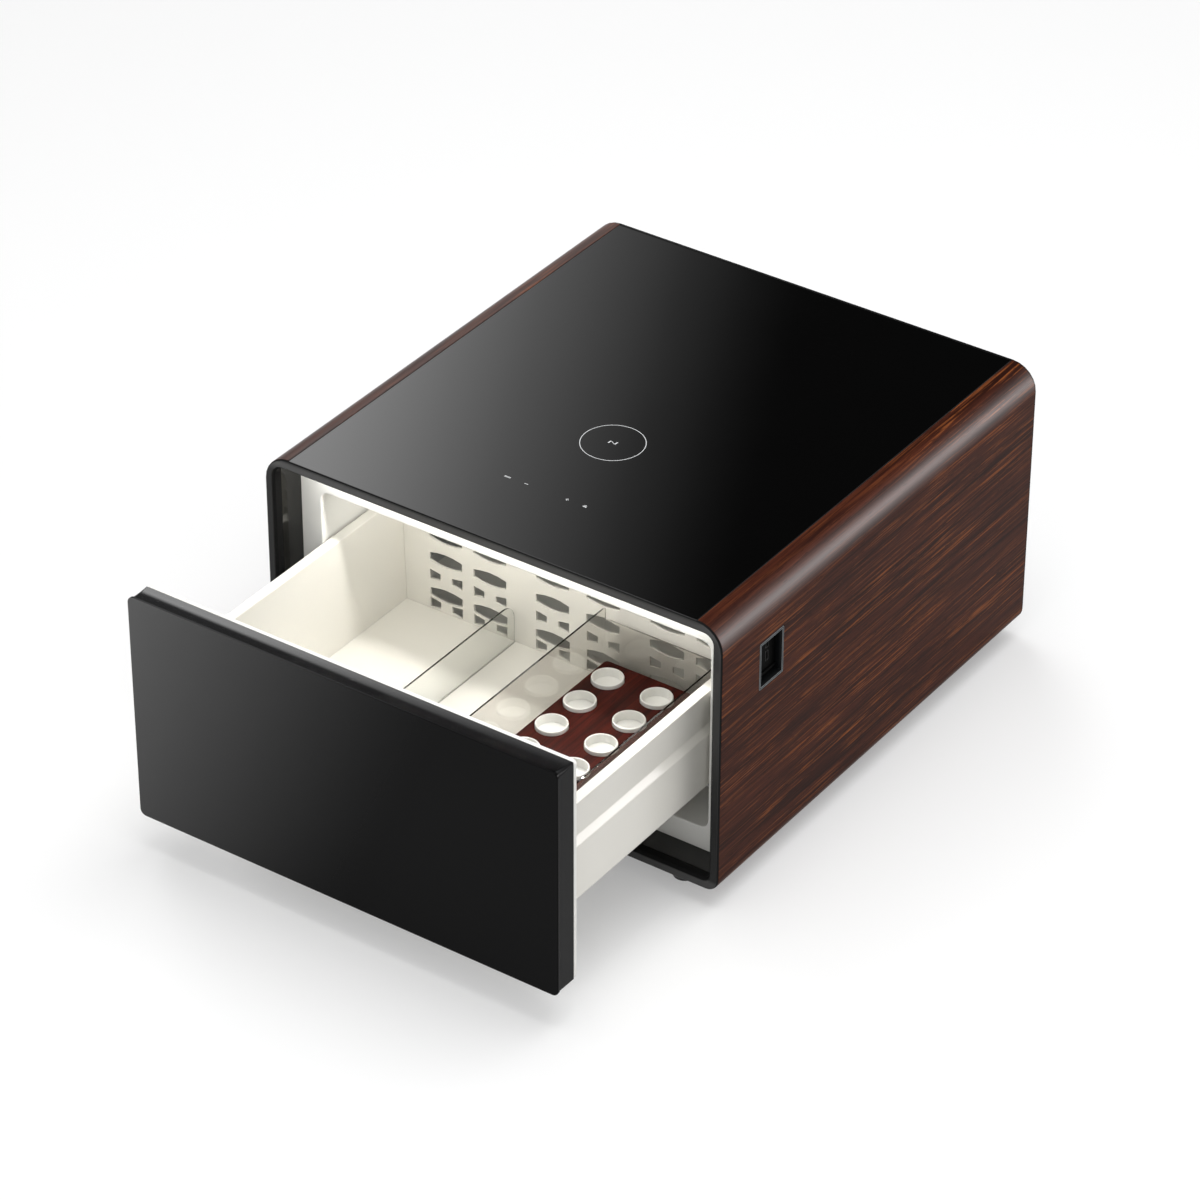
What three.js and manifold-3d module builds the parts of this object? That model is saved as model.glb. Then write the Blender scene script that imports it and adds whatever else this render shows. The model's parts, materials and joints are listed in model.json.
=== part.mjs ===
// A refrigerator coffee table: a wood-wrapped cabinet with a glass top and one cooled
// drawer on telescopic runners, standing with its drawer partly pulled out.
// Millimetres. +X is the cabinet's right, +Y its back and +Z up.

import * as THREE from 'three';
import { mergeVertices } from 'three/addons/utils/BufferGeometryUtils.js';
import Module from 'manifold-3d';

const wasm = await Module();
wasm.setup();

// Driving dimensions of the cabinet
const cabinetWidth = 650;
const cabinetDepth = 693;
const cabinetHeight = 370;
const footHeight = 25;
const panelThickness = 9;
const topEdgeRadius = 34.7;
const lowEdgeRadius = 17;
const glassThickness = 6;
const bezelSideRail = 13;
const bezelTopRail = 14.5;
const bezelLowRail = 14;
const bezelPlate = 3;
const bezelDepth = 14;
const flangeSetBack = 48;
const machineBayDepth = 138;
const insulationRear = cabinetDepth - machineBayDepth;

// Driving dimensions of the cold cavity and the drawer
const cavityMargin = 46;
const cavityRoof = 63;
const cavityBack = 50;
const cavityHalf = cabinetWidth / 2 - cavityMargin;
const cavityFloor = 44.8;
const cavityCeiling = cabinetHeight - cavityRoof;
const cavityRear = insulationRear - cavityBack;
const drawerPulledOut = 285.7;
const drawerRearGap = 34.3;
const drawerRear = cavityRear - drawerRearGap;
const basketFloor = 86;
const basketRim = 237.5;
const basketGapLow = 22;
const basketGapHigh = 17.8;
const basketHalfLow = cavityHalf - basketGapLow;
const basketHalfHigh = cavityHalf - basketGapHigh;

// Gap between pieces that touch, and how far a cutter passes the face it leaves
const fit = 0.3;
const overrun = 2;

// Number of steps in a rounded corner, in a drawn arc and round a turned piece
const cornerSteps = 6;
const arcSteps = 4;
const turnSteps = 20;

const finishes = {
  wood: { color: 0x4a2c1e, roughness: 0.34, metalness: 0 },
  blackGlass: { color: 0x08090b, roughness: 0.06, metalness: 0 },
  darkFrame: { color: 0x25272b, roughness: 0.32, metalness: 0.2 },
  glossBlack: { color: 0x0a0a0c, roughness: 0.12, metalness: 0 },
  matteBlack: { color: 0x17181a, roughness: 0.7, metalness: 0 },
  whiteShell: { color: 0xf1f2f0, roughness: 0.35, metalness: 0 },
  warmWhite: { color: 0xe6e2d6, roughness: 0.4, metalness: 0 },
  glowing: { color: 0xffffff, roughness: 0.5, metalness: 0, emissive: 0xf4f7ff },
  clearPlastic: { color: 0xaab0b2, roughness: 0.1, metalness: 0, transparent: true, opacity: 0.35 },
  darkBoard: { color: 0x35110f, roughness: 0.45, metalness: 0 },
  greySeal: { color: 0xd9dad8, roughness: 0.65, metalness: 0 },
  zincSteel: { color: 0xa7a9ab, roughness: 0.3, metalness: 1 },
  aluminium: { color: 0xc4c6c8, roughness: 0.35, metalness: 1 },
  copper: { color: 0xb06a48, roughness: 0.3, metalness: 1 },
  foam: { color: 0xdcc893, roughness: 0.9, metalness: 0 },
  circuit: { color: 0x1c4a33, roughness: 0.5, metalness: 0 },
  portGrey: { color: 0x9aa2a5, roughness: 0.4, metalness: 0.3 },
};

// A closed geometry as a solid that can be joined and cut
function solid(geometry) {
  geometry.deleteAttribute('normal');
  geometry.deleteAttribute('uv');
  const merged = mergeVertices(geometry);
  return new wasm.Manifold(new wasm.Mesh({
    numProp: 3,
    vertProperties: Float32Array.from(merged.attributes.position.array),
    triVerts: Uint32Array.from(merged.index.array),
  }));
}

function cut(body, ...tools) {
  return tools.reduce((rest, tool) => rest.subtract(tool), body);
}

function join(...bodies) {
  return bodies.reduce((whole, body) => whole.add(body));
}

// Adds a solid to its group as one named mesh with a finish of its own
function place(group, name, body, finish) {
  const { vertProperties, triVerts } = body.getMesh();
  const geometry = new THREE.BufferGeometry();
  geometry.setAttribute('position', new THREE.BufferAttribute(vertProperties, 3));
  geometry.setIndex(new THREE.BufferAttribute(triVerts, 1));
  geometry.computeVertexNormals();
  const mesh = new THREE.Mesh(geometry, new THREE.MeshStandardMaterial(finish));
  mesh.name = name;
  group.add(mesh);
  return mesh;
}

function block(left, right, front, rear, low, high) {
  const geometry = new THREE.BoxGeometry(right - left, rear - front, high - low);
  return solid(geometry.translate((left + right) / 2, (front + rear) / 2, (low + high) / 2));
}

function polygon(points) {
  return new THREE.Shape(points.map(([across, up]) => new THREE.Vector2(across, up)));
}

// The same drawn outline on the right (side 1) or mirrored to the left (side -1)
function sided(shape, side) {
  return polygon(shape.getPoints(arcSteps).map((point) => [side * point.x, point.y]));
}

function extruded(shape, length) {
  return new THREE.ExtrudeGeometry(shape, { depth: length, bevelEnabled: false, curveSegments: arcSteps });
}

// An outline drawn in X and Z, run from front to rear
function alongY(shape, front, rear) {
  return solid(extruded(shape, rear - front).rotateX(Math.PI / 2).translate(0, rear, 0));
}

// An outline drawn in X and Y, run upwards
function alongZ(shape, low, high) {
  return solid(extruded(shape, high - low).translate(0, 0, low));
}

// Points of a rounded rectangle drawn from its centre in X and Y
function roundedRectangle(halfWide, halfDeep, radius) {
  const shape = new THREE.Shape();
  shape.absarc(halfWide - radius, halfDeep - radius, radius, 0, Math.PI / 2);
  shape.absarc(radius - halfWide, halfDeep - radius, radius, Math.PI / 2, Math.PI);
  shape.absarc(radius - halfWide, radius - halfDeep, radius, Math.PI, 1.5 * Math.PI);
  shape.absarc(halfWide - radius, radius - halfDeep, radius, 1.5 * Math.PI, 2 * Math.PI);
  return shape;
}

// A body turned about +Y from points of radius and depth
function turnedAboutY(points, steps = turnSteps) {
  const outline = points.map(([radius, along]) => new THREE.Vector2(radius, along));
  return solid(new THREE.LatheGeometry(outline, steps));
}

// A round rod or cutter about +Y
function rodAlongY(radius, front, rear, steps = turnSteps) {
  return turnedAboutY([[0, front], [radius, front], [radius, rear], [0, rear]], steps);
}

// A body turned about +Z from points of radius and height
function turnedAboutZ(points, steps = turnSteps) {
  const outline = points.map(([radius, up]) => new THREE.Vector2(radius, up));
  return solid(new THREE.LatheGeometry(outline, steps).rotateX(Math.PI / 2));
}

// An upright outline is symmetric about X = 0. Growing it keeps its corners concentric.
const leastRadius = 0.5;

function grown(outline, amount) {
  return {
    half: outline.half + amount,
    low: outline.low - amount,
    high: outline.high + amount,
    topRadius: Math.max(outline.topRadius + amount, leastRadius),
    lowRadius: Math.max(outline.lowRadius + amount, leastRadius),
  };
}

function blended(first, second, share) {
  const keys = Object.keys(first);
  return Object.fromEntries(keys.map((key) => [key, THREE.MathUtils.lerp(first[key], second[key], share)]));
}

// An upright outline as a ring of points at one depth, anticlockwise from the front
function ring(outline, depth) {
  const { half, low, high, topRadius, lowRadius } = outline;
  const corners = [
    [half - topRadius, high - topRadius, topRadius],
    [topRadius - half, high - topRadius, topRadius],
    [lowRadius - half, low + lowRadius, lowRadius],
    [half - lowRadius, low + lowRadius, lowRadius],
  ];
  return corners.flatMap(([x, z, radius], quarter) =>
    Array.from({ length: cornerSteps + 1 }, (_, step) => {
      const angle = (quarter + step / cornerSteps) * (Math.PI / 2);
      return new THREE.Vector3(x + radius * Math.cos(angle), depth, z + radius * Math.sin(angle));
    }));
}

function upright(outline) {
  return polygon(ring(outline, 0).map((point) => [point.x, point.z]));
}

// Joins rings of equal length into a skin. A looped skin returns to its first ring,
// as a frame's moulding does, and any other is closed flat at its first and last ring.
function skin(rings, looped) {
  const size = rings[0].length;
  const spans = looped ? rings.length : rings.length - 1;
  const triangles = [];
  for (let span = 0; span < spans; span += 1) {
    const here = span * size;
    const next = ((span + 1) % rings.length) * size;
    for (let corner = 0; corner < size; corner += 1) {
      const ahead = (corner + 1) % size;
      triangles.push(here + corner, here + ahead, next + ahead);
      triangles.push(here + corner, next + ahead, next + corner);
    }
  }
  const last = spans * size;
  for (let corner = 1; !looped && corner < size - 1; corner += 1) {
    triangles.push(0, corner + 1, corner);
    triangles.push(last, last + corner, last + corner + 1);
  }
  const geometry = new THREE.BufferGeometry();
  const positions = rings.flat().flatMap((point) => point.toArray());
  geometry.setAttribute('position', new THREE.Float32BufferAttribute(positions, 3));
  geometry.setIndex(triangles);
  return solid(geometry);
}

// The table is centred on its whole length, with the drawer out, and stands on its feet
const table = new THREE.Group();
table.name = 'refrigerator_coffee_table';
const cabinet = new THREE.Group();
cabinet.position.set(0, (drawerPulledOut - cabinetDepth) / 2, footHeight);
table.add(cabinet);

// The drawer and the middle runner members are drawn closed and pulled out as groups
const drawer = new THREE.Group();
drawer.position.y = -drawerPulledOut;
const middleRunners = new THREE.Group();
middleRunners.position.y = -drawerPulledOut / 2;
cabinet.add(drawer, middleRunners);

// Outlines that the shell pieces share
const shell = {
  half: cabinetWidth / 2,
  low: 0,
  high: cabinetHeight,
  topRadius: topEdgeRadius,
  lowRadius: lowEdgeRadius,
};
const lining = grown(shell, -panelThickness);
const core = grown(lining, -fit);
const throat = {
  half: shell.half - bezelSideRail,
  low: bezelLowRail,
  high: cabinetHeight - bezelTopRail,
  topRadius: 13.5,
  lowRadius: 9,
};
const flatHalf = shell.half - topEdgeRadius - fit;
const glassUnderside = cabinetHeight - glassThickness;
const deckTop = glassUnderside - fit;

// Side wraps: bent panels that run from the glass round both long edges to the base
const rearFrameDepth = 11.7;
const wrapFront = bezelPlate + fit;
const wrapRear = cabinetDepth - bezelPlate - fit;
const portWide = 50;
const portTall = 64;
const portRadius = 2;
const portDepth = 105.5;
const portDrop = 96.5;
const portHeight = cabinetHeight - portDrop;

function wrapSection() {
  const upper = shell.high - shell.topRadius;
  const lower = shell.lowRadius;
  const edge = flatHalf + fit;
  const section = new THREE.Shape();
  section.moveTo(edge, shell.high);
  section.absarc(shell.half - shell.topRadius, upper, shell.topRadius, Math.PI / 2, 0, true);
  section.absarc(shell.half - shell.lowRadius, lower, shell.lowRadius, 0, -Math.PI / 2, true);
  section.lineTo(edge, shell.low);
  section.lineTo(edge, lining.low);
  section.absarc(lining.half - lining.lowRadius, lower, lining.lowRadius, -Math.PI / 2, 0);
  section.absarc(lining.half - lining.topRadius, upper, lining.topRadius, 0, Math.PI / 2);
  section.lineTo(edge, lining.high);
  return section;
}

// A rounded port outline run through the right side, drawn about its centre
function portTool(grow, inner, outer) {
  const outline = roundedRectangle(portTall / 2 + grow, portWide / 2 + grow, portRadius + grow);
  return solid(extruded(outline, outer - inner).rotateY(Math.PI / 2).translate(inner, portDepth, portHeight));
}

function makeWraps() {
  const left = alongY(sided(wrapSection(), -1), wrapFront, wrapRear);
  const right = alongY(sided(wrapSection(), 1), wrapFront, wrapRear);
  place(cabinet, 'side_wrap_left', left, finishes.wood);
  const portHole = portTool(fit, lining.half - overrun, shell.half + overrun);
  place(cabinet, 'side_wrap_right', cut(right, portHole), finishes.wood);
}

// Front bezel: a plate over the shell's end with a spigot inside the wraps
const bezelEdgeRadius = 2.8;
const bezelChamfer = 3.5;
const glassFrontLip = 1.5;
const edgeSteps = 3;

// Rings that round an outer edge from the side of a plate on to its face
function roundedEdge(outline, radius, faceDepth, inward) {
  return Array.from({ length: edgeSteps + 1 }, (_, step) => {
    const angle = (step / edgeSteps) * (Math.PI / 2);
    const shrink = radius * (1 - Math.cos(angle));
    return ring(grown(outline, -shrink), faceDepth + inward * radius * (1 - Math.sin(angle)));
  });
}

function glassNotch(front, rear) {
  const half = flatHalf + fit;
  return block(-half, half, front, rear, deckTop, cabinetHeight + overrun);
}

function makeFrontBezel() {
  const moulding = skin([
    ring(shell, bezelPlate),
    ...roundedEdge(shell, bezelEdgeRadius, 0, 1),
    ring(grown(throat, bezelChamfer), 0),
    ring(throat, bezelChamfer),
    ring(throat, bezelDepth),
    ring(core, bezelDepth),
    ring(core, bezelPlate),
  ], true);
  const notch = glassNotch(glassFrontLip, bezelPlate + overrun);
  place(cabinet, 'front_bezel', cut(moulding, notch), finishes.darkFrame);
}

// Rear frame: a plate over the shell's end with a spigot inside the wraps, a lip that holds
// the glass and a ledge for the rear cover
const rearLip = 5.4;
const rearSideRail = 19;
const rearTopRail = 18;
const rearLowRail = 14;
const rearRadius = 12;
const coverLedge = 10;
const ledgeThickness = 2.4;
const coverThickness = 2.5;
const coverScrewRadius = 2;
const rearFrameFront = cabinetDepth - rearFrameDepth;
const coverFront = rearFrameFront + ledgeThickness + fit;
const coverRear = coverFront + coverThickness;
const rearOpening = {
  half: shell.half - rearSideRail,
  low: rearLowRail,
  high: cabinetHeight - rearTopRail,
  topRadius: rearRadius,
  lowRadius: rearRadius,
};
const screwHeightShares = [0.12, 0.88];
const screwPlaces = [-1, 1].flatMap((side) => screwHeightShares.map((share) => [
  side * (rearOpening.half - coverLedge / 2),
  rearOpening.low + share * (rearOpening.high - rearOpening.low),
]));

function screwHole([x, z], front, rear) {
  return rodAlongY(coverScrewRadius + fit, front, rear, turnSteps / 2).translate([x, 0, z]);
}

function makeRearFrame() {
  const ledge = grown(rearOpening, -coverLedge);
  const ledgeRear = rearFrameFront + ledgeThickness;
  const plateFront = cabinetDepth - bezelPlate;
  const moulding = skin([
    ring(core, rearFrameFront),
    ring(ledge, rearFrameFront),
    ring(ledge, ledgeRear),
    ring(rearOpening, ledgeRear),
    ring(rearOpening, cabinetDepth),
    ...roundedEdge(shell, bezelEdgeRadius, cabinetDepth, -1).reverse(),
    ring(shell, plateFront),
    ring(core, plateFront),
  ], true);
  const lip = block(
    -flatHalf, flatHalf, cabinetDepth - rearLip, cabinetDepth - bezelEdgeRadius,
    core.high - overrun, cabinetHeight,
  );
  const holes = screwPlaces.map((spot) => screwHole(spot, rearFrameFront - overrun, ledgeRear + overrun));
  place(cabinet, 'rear_frame', cut(join(moulding, lip), ...holes), finishes.darkFrame);
}

// Top glass: one plate let in flush between the wraps, the bezel and the rear frame
const glassChamfer = 0.8;

function makeTopGlass() {
  const front = glassFrontLip + fit;
  const rear = cabinetDepth - rearLip - fit;
  const outline = polygon([[-flatHalf, front], [flatHalf, front], [flatHalf, rear], [-flatHalf, rear]]);
  const plate = new THREE.ExtrudeGeometry(outline, {
    depth: glassThickness - 2 * glassChamfer,
    bevelThickness: glassChamfer,
    bevelSize: glassChamfer,
    bevelOffset: -glassChamfer,
    bevelSegments: 1,
  });
  plate.translate(0, 0, glassUnderside + glassChamfer);
  place(cabinet, 'top_glass', solid(plate), finishes.blackGlass);
}

// Top deck: the board under the glass, with pockets for the charger and the touch keys
const collarWall = 1.2;
const deckLow = throat.high + collarWall + fit;
const chargerDepth = 255;
const chargerRadius = 40;
const chargerThickness = 3;
const chargerBore = 10;
const coilStep = 1.2;
const coilInnerRadius = 15;
const touchDepth = 122.6;
const touchHalfWide = 76;
const touchHalfDeep = 12;
const touchThickness = 1.6;

function makeTopDeck() {
  const frontTongue = block(-flatHalf, flatHalf, wrapFront, bezelDepth + overrun, core.high + fit, deckTop);
  const boardRear = rearFrameFront - fit;
  const glassRear = cabinetDepth - rearLip - fit;
  const rearTongue = block(-flatHalf, flatHalf, boardRear - overrun, glassRear, core.high + fit, deckTop);
  const board = block(-flatHalf, flatHalf, bezelDepth + fit, boardRear, deckLow, deckTop);
  const chargerFloor = deckTop - chargerThickness - fit;
  const pocketRadius = chargerRadius + fit;
  const cutTop = deckTop + overrun;
  const chargerPocket = turnedAboutZ([
    [0, chargerFloor], [pocketRadius, chargerFloor], [pocketRadius, cutTop], [0, cutTop],
  ]).translate([0, chargerDepth, 0]);
  const touchPocket = block(
    -touchHalfWide - fit, touchHalfWide + fit,
    touchDepth - touchHalfDeep - fit, touchDepth + touchHalfDeep + fit,
    deckTop - touchThickness - fit, deckTop + overrun,
  );
  const deck = join(board, frontTongue, rearTongue);
  place(cabinet, 'top_deck', cut(deck, chargerPocket, touchPocket), finishes.matteBlack);
}

function makeChargingCoil() {
  const low = deckTop - chargerThickness;
  const coil = turnedAboutZ([
    [chargerBore, low], [chargerRadius, low], [chargerRadius, deckTop - coilStep],
    [chargerRadius - coilStep, deckTop], [coilInnerRadius, deckTop],
    [coilInnerRadius, deckTop - coilStep], [chargerBore, deckTop - coilStep], [chargerBore, low],
  ]);
  place(cabinet, 'charging_coil', coil.translate([0, chargerDepth, 0]), finishes.copper);
}

function makeTouchBoard() {
  const board = block(
    -touchHalfWide, touchHalfWide, touchDepth - touchHalfDeep, touchDepth + touchHalfDeep,
    deckTop - touchThickness, deckTop,
  );
  place(cabinet, 'touch_board', board, finishes.circuit);
}

// Base board and its four tapered feet
const footInset = 70;
const footFrontDepth = 38;
const footRearDepth = cabinetDepth - footFrontDepth;
const footTopRadius = 28;
const footSoleRadius = 15;
const footSoleEdge = 2;

function makeBase() {
  const board = block(-flatHalf, flatHalf, wrapFront, wrapRear, 0, panelThickness);
  place(cabinet, 'base_board', board, finishes.matteBlack);
  const foot = () => turnedAboutZ([
    [0, -footHeight], [footSoleRadius - footSoleEdge, -footHeight],
    [footSoleRadius, footSoleEdge - footHeight], [footTopRadius, -fit], [0, -fit],
  ]);
  const rows = { front: footFrontDepth, rear: footRearDepth };
  const sides = { left: -1, right: 1 };
  for (const [row, depth] of Object.entries(rows)) {
    for (const [name, side] of Object.entries(sides)) {
      const mesh = place(cabinet, `foot_${row}_${name}`, foot(), finishes.matteBlack);
      mesh.position.set(side * (shell.half - footInset), depth, 0);
    }
  }
}

// Throat collar: the glossy sleeve between the bezel and the cavity's flange
const collarTaper = 3.5;
const stripInset = 16;
const stripHeight = 4;
const stripFront = 38;
const stripRear = 46;
const collarFront = bezelDepth + fit;
const collarRear = flangeSetBack - fit;
const throatRear = { ...throat, half: throat.half - collarTaper };

function makeThroatCollar() {
  const sleeve = skin([
    ring(grown(throatRear, collarWall), collarRear),
    ring(grown(throat, collarWall), collarFront),
    ring(throat, collarFront),
    ring(throatRear, collarRear),
  ], true);
  place(cabinet, 'throat_collar', sleeve, finishes.glossBlack);
}

function makeLightStrip() {
  const high = throat.high - fit;
  const halfLong = throat.half - stripInset;
  const strip = block(-halfLong, halfLong, stripFront, stripRear, high - stripHeight, high);
  place(cabinet, 'light_strip', strip, finishes.glowing);
}

// Inner liner: the cold cavity's moulded skin with the flange that the seal meets
const linerWall = 2.5;
const cavityRadius = 12;
const cavityFillet = 14;
const mouthRadius = 2;
const flangeOverlap = 1;
const cavity = {
  half: cavityHalf,
  low: cavityFloor,
  high: cavityCeiling,
  topRadius: cavityRadius,
  lowRadius: cavityRadius,
};
const linerOuter = grown(cavity, linerWall);
const flange = grown(throatRear, flangeOverlap);
const flangeRear = flangeSetBack + linerWall;

// Rings that carry a wall round a fillet on to its end face
function filleted(outline, radius, endDepth) {
  return Array.from({ length: edgeSteps + 1 }, (_, step) => {
    const angle = (step / edgeSteps) * (Math.PI / 2);
    return ring(grown(outline, radius * (Math.cos(angle) - 1)), endDepth - radius * (1 - Math.sin(angle)));
  });
}

function makeInnerLiner() {
  const outerRings = filleted(linerOuter, cavityFillet, cavityRear + linerWall).reverse();
  const liner = skin([
    ...outerRings,
    ring(linerOuter, flangeRear),
    ring(flange, flangeRear),
    ring(flange, flangeSetBack),
    ring(grown(cavity, mouthRadius), flangeSetBack),
    ring(cavity, flangeSetBack + mouthRadius),
    ...filleted(cavity, cavityFillet, cavityRear),
  ], false);
  place(cabinet, 'inner_liner', liner, finishes.whiteShell);
}

// Insulation: the foam between the liner and the shell, with a pocket for the port
const portModuleDepth = 15;
const portFrameDepth = panelThickness;
const portModuleFront = portFrameDepth + fit;

function makeInsulation() {
  const outline = { ...core, high: deckLow - fit };
  const front = flangeRear + fit;
  const body = alongY(upright(outline), front, insulationRear);
  const hollow = alongY(upright(grown(linerOuter, fit)), front - overrun, cavityRear + linerWall + fit);
  const pocketInner = shell.half - portModuleFront - portModuleDepth - fit;
  const pocket = portTool(fit, pocketInner, shell.half);
  place(cabinet, 'insulation', cut(body, hollow, pocket), finishes.foam);
}

// Charging port on the right side: a bevelled frame with a socket block behind it.
// It is drawn facing the front and turned to face the right.
const portRim = 3.3;
const portBevel = 1.7;
const portBevelDepth = 4;
const portEdge = 0.8;
const socketWide = 5.8;
const socketTall = 13.4;
const socketDepth = 11;
const socketPitch = 18;
const socketRise = 7;
const socketShift = 4;
const tongueWide = 1.9;
const tongueInset = 1.2;
const ledgeTall = 3;
const ledgeProud = 2.5;
const ledgeDrop = 19;

const portGroup = new THREE.Group();
portGroup.position.set(shell.half, portDepth, portHeight);
portGroup.rotation.z = Math.PI / 2;
cabinet.add(portGroup);

function portOutline(inset) {
  const radius = Math.max(portRadius - inset, leastRadius);
  return {
    half: portWide / 2 - inset,
    low: inset - portTall / 2,
    high: portTall / 2 - inset,
    topRadius: radius,
    lowRadius: radius,
  };
}

function makePort() {
  const frame = skin([
    ring(portOutline(0), portFrameDepth),
    ring(portOutline(0), portEdge),
    ring(portOutline(portEdge), 0),
    ring(portOutline(portRim), 0),
    ring(portOutline(portRim + portBevel), portBevelDepth),
    ring(portOutline(portRim + portBevel), portFrameDepth),
  ], true);
  place(portGroup, 'port_frame', frame, finishes.portGrey);

  const body = alongY(upright(portOutline(fit)), portModuleFront, portModuleFront + portModuleDepth);
  const ledgeHalf = portWide / 2 - portRim - portBevel - fit;
  const ledge = block(
    -ledgeHalf, ledgeHalf, portModuleFront - ledgeProud, portModuleFront + overrun,
    -ledgeDrop - ledgeTall, -ledgeDrop,
  );
  const socketParts = [0.5, -0.5].map((stepShare) => {
    const middle = socketRise + stepShare * socketPitch;
    const hole = block(
      socketShift - socketWide / 2, socketShift + socketWide / 2,
      portModuleFront - overrun, portModuleFront + socketDepth,
      middle - socketTall / 2, middle + socketTall / 2,
    );
    const tongue = block(
      socketShift - tongueWide / 2, socketShift + tongueWide / 2,
      portModuleFront + tongueInset, portModuleFront + socketDepth + overrun,
      middle - socketTall / 2 + tongueInset, middle + socketTall / 2 - tongueInset,
    );
    return { hole, tongue };
  });
  const pierced = cut(join(body, ledge), ...socketParts.map((part) => part.hole));
  const sockets = join(pierced, ...socketParts.map((part) => part.tongue));
  place(portGroup, 'port_sockets', sockets, finishes.matteBlack);
}

// Cold side: a finned evaporator behind a slotted duct cover at the cavity's rear
const ductMargin = 39;
const ductHalf = cavityHalf - ductMargin;
const ductInset = 3;
const ductRadius = 12;
const ductThickness = 24;
const ductFront = cavityRear - ductThickness;
const ductWall = 2.5;
const ductSlotHalf = 70;
const ductSlotTall = 6;
const ductSlotPitch = 13;
const ductSlotRows = 4;
const ductSlotDrop = 36;
const evaporatorMargin = 50;
const evaporatorHalf = ductHalf - evaporatorMargin;
const evaporatorGap = 3;
const evaporatorLow = 84;
const evaporatorHigh = 216;
const evaporatorFins = 16;
const finSpine = 3;
const finShare = 0.35;
const ductLow = cavityFloor + cavityFillet + ductInset;
const ductHigh = cavityCeiling - cavityFillet - ductInset;

// A comb outline in X and Y: a spine along the rear with fins standing to the front
function comb(half, front, rear, spine, count) {
  const pitch = (2 * half) / (count - 1 + finShare);
  const teeth = Array.from({ length: count }, (_, fin) => -half + fin * pitch).flatMap((left, fin) => {
    const right = left + pitch * finShare;
    const finFaces = [[left, front], [right, front]];
    const valley = fin < count - 1 ? [[right, rear - spine], [left + pitch, rear - spine]] : [];
    return [...finFaces, ...valley];
  });
  return polygon([...teeth, [half, rear], [-half, rear]]);
}

function makeColdSide() {
  const radii = { topRadius: ductRadius, lowRadius: ductRadius };
  const outline = { half: ductHalf, low: ductLow, high: ductHigh, ...radii };
  const rear = cavityRear - fit;
  const shellBox = alongY(upright(outline), ductFront, rear);
  const inside = alongY(upright(grown(outline, -ductWall)), ductFront + ductWall, rear + overrun);
  const slots = [];
  for (const side of [-1, 1]) {
    for (let row = 0; row < ductSlotRows; row += 1) {
      const high = ductHigh - ductSlotDrop - row * ductSlotPitch;
      const middle = side * ductHalf / 2;
      slots.push(block(
        middle - ductSlotHalf, middle + ductSlotHalf, ductFront - overrun, ductFront + ductWall + overrun,
        high - ductSlotTall, high,
      ));
    }
  }
  place(cabinet, 'air_duct_cover', cut(shellBox, inside, ...slots), finishes.whiteShell);

  const finFront = ductFront + ductWall + evaporatorGap;
  const fins = comb(evaporatorHalf, finFront, rear, finSpine, evaporatorFins);
  place(cabinet, 'evaporator', alongZ(fins, evaporatorLow, evaporatorHigh), finishes.aluminium);
}

// Machine bay: compressor, condenser, fan, control box and drip tray on the base board
const bayFloor = panelThickness + fit;
const compressorShare = 0.461538462;
const compressorGap = 63;
const compressorAcross = -compressorShare * shell.half;
const compressorDepth = insulationRear + compressorGap;
const compressorRadius = 52;
const compressorHeight = 148;
const compressorSeam = 3;
const compressorDome = 26;
const seamHeightShare = 0.5;
const domeCrownShare = 0.45;
const grommetHeight = 8;
const grommetRadius = 8;
const mountPlate = 3;
const mountHalfWide = 70;
const mountHalfDeep = 40;
const condenserShare = 0.184615385;
const condenserHalf = 70;
const condenserGap = 20;
const condenserThickness = 42;
const condenserAcross = condenserShare * shell.half;
const condenserFront = insulationRear + condenserGap;
const condenserRear = condenserFront + condenserThickness;
const condenserHeight = 150;
const condenserFins = 16;
const pipeRadius = 3.2;
const pipeHeight = 62;
const pipeSteps = 14;
const pipeSides = 8;
const pipeSweep = 16;

function makeCompressor() {
  const low = bayFloor + grommetHeight + mountPlate - overrun;
  const high = bayFloor + compressorHeight;
  const seam = low + (high - low) * seamHeightShare;
  const crown = compressorRadius * domeCrownShare;
  const can = turnedAboutZ([
    [0, low], [compressorRadius - compressorDome / 2, low], [compressorRadius, low + compressorDome / 2],
    [compressorRadius, seam - compressorSeam], [compressorRadius + compressorSeam, seam - compressorSeam],
    [compressorRadius + compressorSeam, seam], [compressorRadius, seam],
    [compressorRadius, high - compressorDome], [crown + compressorDome / 2, high - compressorDome / 4],
    [crown, high], [0, high],
  ]);
  const plateLow = bayFloor + grommetHeight - overrun;
  const plate = alongZ(
    roundedRectangle(mountHalfWide, mountHalfDeep, grommetRadius), plateLow, plateLow + mountPlate + overrun,
  );
  const grommets = [-1, 1].flatMap((side) => [-1, 1].map((end) => turnedAboutZ([
    [0, bayFloor], [grommetRadius, bayFloor], [grommetRadius, plateLow + overrun], [0, plateLow + overrun],
  ], turnSteps / 2).translate([
    side * (mountHalfWide - grommetRadius - fit), end * (mountHalfDeep - grommetRadius - fit), 0,
  ])));
  const body = join(plate, can, ...grommets).translate([compressorAcross, compressorDepth, 0]);
  place(cabinet, 'compressor', body, finishes.glossBlack);
}

function makeCondenser() {
  const fins = comb(condenserHalf, condenserFront, condenserRear, finSpine, condenserFins);
  const body = alongZ(fins, bayFloor, bayFloor + condenserHeight).translate([condenserAcross, 0, 0]);
  place(cabinet, 'condenser', body, finishes.aluminium);
}

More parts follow.
